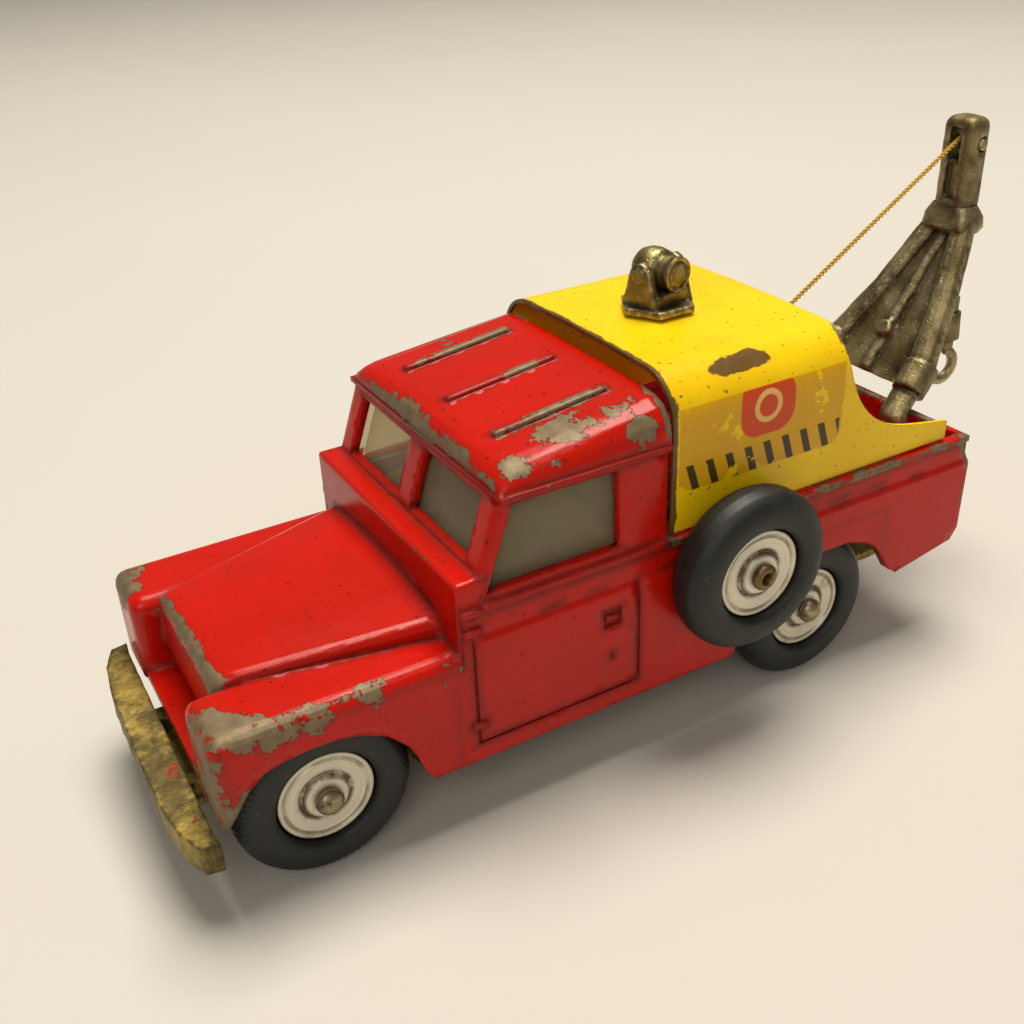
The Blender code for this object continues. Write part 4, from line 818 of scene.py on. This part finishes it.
def make_winch():
    """Shaft with riveted ends, drum and flanges, then the wound thread and its core."""
    left = SPARE_FACE_X + 0.65
    left_rivet = [(0.02, left - 0.55), (0.55, left - 0.5), (0.62, left + 0.45), (0.78, left + 0.66),
                  (1.05, left + 0.68), (1.32, left + 0.5), (1.48, left + 0.25), (1.48, left),
                  (SHAFT_RADIUS, left)]
    flange = [(SHAFT_RADIUS, FLANGE_HALF_LENGTH), (FLANGE_RADIUS - 0.15, FLANGE_HALF_LENGTH),
              (FLANGE_RADIUS, FLANGE_HALF_LENGTH - 0.1), (FLANGE_RADIUS, DRUM_HALF_LENGTH + 0.1),
              (FLANGE_RADIUS - 0.15, DRUM_HALF_LENGTH), (DRUM_RADIUS, DRUM_HALF_LENGTH)]
    right_rivet = [(SHAFT_RADIUS, -17.95), (1.6, -17.95), (1.6, -18.3), (1.3, -18.65), (0.7, -18.85),
                   (0.02, -18.85)]
    profile = left_rivet + flange + [(r, -x) for r, x in reversed(flange)] + right_rivet
    shaft = revolve("winch_shaft_detail", profile, (0.0, WINCH_Y, WINCH_Z), 48)
    settle(shaft, "winch", steel("winch_steel_brown", (0.22, 0.14, 0.07), 0.45), "steel", "winch_shaft")
    thread = yarn()
    steps = int(WINDING_TURNS * 28)
    route = []
    for step in range(steps + 1):
        angle = math.tau * step / 28
        route.append((-2.15 + 4.3 * step / (WINDING_TURNS * 28), WINCH_Y + WINDING_RADIUS * math.cos(angle),
                      WINCH_Z + WINDING_RADIUS * math.sin(angle)))
    winding = twisted("winding_top_layer", route, CORD_RADIUS, steps_per_mm=3.0, sides=6)
    core = revolve("winding_core", [(2.4, 2.25), (2.72, 2.2), (2.72, -2.2), (2.4, -2.25)],
                   (0.0, WINCH_Y, WINCH_Z), 48)
    settle(winding, "winch", thread, "thread", "wound_thread")
    settle(core, "winch", thread, "thread")
    return thread


def make_cords(thread):
    """The cord from the drum over the jib pin, the hanging cord, and its tail inside the longest drop."""
    spread = math.hypot(PIN_Z - WINCH_Z, PIN_Y - WINCH_Y)
    lean = math.atan2(PIN_Z - WINCH_Z, PIN_Y - WINCH_Y) - math.asin((WOUND_RADIUS - WRAP_RADIUS) / spread)
    start = (0.0, WINCH_Y - WOUND_RADIUS * math.sin(lean), WINCH_Z + WOUND_RADIUS * math.cos(lean))
    hang_y = PIN_Y + WRAP_RADIUS
    over = []
    for step in range(9):
        angle = (math.pi / 2.0 + lean) * (1.0 - step / 8)
        over.append((0.0, PIN_Y + WRAP_RADIUS * math.cos(angle), PIN_Z + WRAP_RADIUS * math.sin(angle)))
    cord = twisted("winch_cord_twisted", [start] + over, CORD_RADIUS)
    settle(cord, "chassis", thread, "thread", "winch_cord")
    drop = [(0.0, hang_y, PIN_Z - GAP), (0.0, hang_y, HOOK_EYE_Z + GAP)]
    hanging = twisted("hook_cord_twisted", drop, CORD_RADIUS)
    settle(hanging, "hook_line", thread, "thread", "hook_cord")
    spare = [(0.0, hang_y, HOOK_EYE_Z), (0.0, hang_y, HOOK_EYE_Z + HOOK_LOWERED)]
    tail = twisted("hook_cord_tail", spare, 0.9 * CORD_RADIUS)
    settle(tail, "hook", thread, "thread")


def make_headlamps():
    silver = lamp_silver()
    for side_name, side in (("left", 1.0), ("right", -1.0)):
        name = "headlamp_" + side_name
        shape = bmesh.new()
        rings = []
        for step in range(7):
            angle = math.radians(90.0 * step / 6)
            reach = max(LAMP_RADIUS * math.cos(angle), 0.02)
            front_y = GRILLE_Y - LAMP_BEHIND - LAMP_BULGE * math.sin(angle)
            rings.append([shape.verts.new(at(side * LAMP_X + reach * math.cos(math.tau * k / 40), front_y,
                                             LAMP_Z + reach * math.sin(math.tau * k / 40)))
                          for k in range(40)])
        for low, high in zip(rings, rings[1:]):
            for k in range(40):
                shape.faces.new((low[k], low[(k + 1) % 40], high[(k + 1) % 40], high[k]))
        shape.faces.new(rings[0])
        shape.faces.new(rings[-1])
        bmesh.ops.recalc_face_normals(shape, faces=shape.faces)
        settle(new_object(name, mesh_from(shape, name, 40.0)), "chassis", silver, "silver_casting")


def make_truck():
    skin("body_casting", "body_shell", "chassis", red_enamel(), "red_enamel", 1.5, BODY_WEAR)
    make_canopy()
    skin("base_plate_casting", "base_plate", "chassis", bumper_metal(), "bare_casting", 1.0, lumps=0.05)
    jib_metal = casting("jib_casting_dull", rgb(0.15, 0.115, 0.045), rgb(0.38, 0.31, 0.16),
                        rgb(0.6, 0.52, 0.34), 0.42)
    lamp_metal = casting("lamp_casting_gilt", rgb(0.16, 0.12, 0.04), rgb(0.42, 0.33, 0.14),
                         rgb(0.7, 0.60, 0.36), 0.34)
    skin("jib_casting", "jib", "chassis", jib_metal, "silver_casting", 0.9, smooth=40.0, lumps=0.04)
    skin("jib_pin_detail", "jib_pin", "chassis", jib_metal, "steel", 0.9, smooth=40.0)
    skin("searchlight_casting", "searchlight", "searchlight", lamp_metal, "silver_casting", 0.6,
         smooth=35.0, lumps=0.02)
    skin("hook_casting", "hook", "hook", jib_metal, "silver_casting", 0.5, smooth=50.0, lumps=0.02)
    skin("window_moulding", "window_glazing", "chassis", clear_plastic(), "clear_plastic", 4.0, smooth=25.0)
    seat = moulded("interior_plastic_yellow", (0.42, 0.30, 0.03), (0.30, 0.20, 0.02), 0.5)
    skin("interior_moulding", "cab_interior", "chassis", seat, "yellow_plastic", 3.0, smooth=35.0)
    black = moulded("steering_plastic_black", (0.02, 0.018, 0.016), (0.04, 0.035, 0.03), 0.45)
    skin("steering_wheel_detail", "steering_wheel", "chassis", black, "rubber", 1.0, smooth=50.0)
    make_wheels()
    make_cords(make_winch())
    make_headlamps()


# ---------------------------------------------------------------- camera, floor and light

def make_camera():
    """A phone-like view from above the left front corner, given by its own axes and place."""
    right = Vector((0.50264, 0.86367, -0.03780))
    up = Vector((-0.41068, 0.27703, 0.86868))
    forward = Vector((-0.76072, 0.42111, -0.49393))
    data = bpy.data.cameras.new("camera")
    camera = bpy.data.objects.new("camera", data)
    bpy.context.scene.collection.objects.link(camera)
    back = -forward
    turn = Matrix((right, up, back)).transposed().to_4x4()
    camera.matrix_world = Matrix.Translation(at(99.273, -52.449, 88.25)) @ turn
    data.lens = 40.99
    data.sensor_width = 36.0
    data.shift_x = -0.0070
    data.shift_y = -0.0015
    data.clip_start = 0.005
    data.clip_end = 20.0
    bpy.context.scene.camera = camera
    bpy.context.scene.view_settings.view_transform = "Standard"


def make_floor():
    shape = bmesh.new()
    bmesh.ops.create_grid(shape, x_segments=2, y_segments=2, size=4.0)
    mesh = bpy.data.meshes.new("floor")
    shape.to_mesh(mesh)
    shape.free()
    floor = new_object("floor", mesh)
    floor.data.materials.append(paper_floor())


def area_light(name, place, target, size, power, colour):
    data = bpy.data.lights.new(name, "AREA")
    data.shape = "DISK"
    data.size = size
    data.energy = power
    data.color = colour
    lamp = bpy.data.objects.new(name, data)
    bpy.context.scene.collection.objects.link(lamp)
    lamp.location = place
    lamp.rotation_euler = (Vector(target) - Vector(place)).to_track_quat("-Z", "Y").to_euler()


def make_light():
    area_light("window_light", (-0.15, 0.17, 1.0), (0.0, 0.0, 0.02), 0.60, 13.4, (1.0, 0.94, 0.82))
    area_light("room_fill", (0.75, -0.55, 0.75), (0.0, 0.0, 0.02), 0.8, 3.6, (1.0, 0.95, 0.86))
    world = bpy.data.worlds.new("room")
    bpy.context.scene.world = world
    world.use_nodes = True
    background = world.node_tree.nodes["Background"]
    background.inputs["Color"].default_value = (1.0, 0.94, 0.84, 1.0)
    background.inputs["Strength"].default_value = 0.20


make_camera()
make_truck()
make_floor()
make_light()
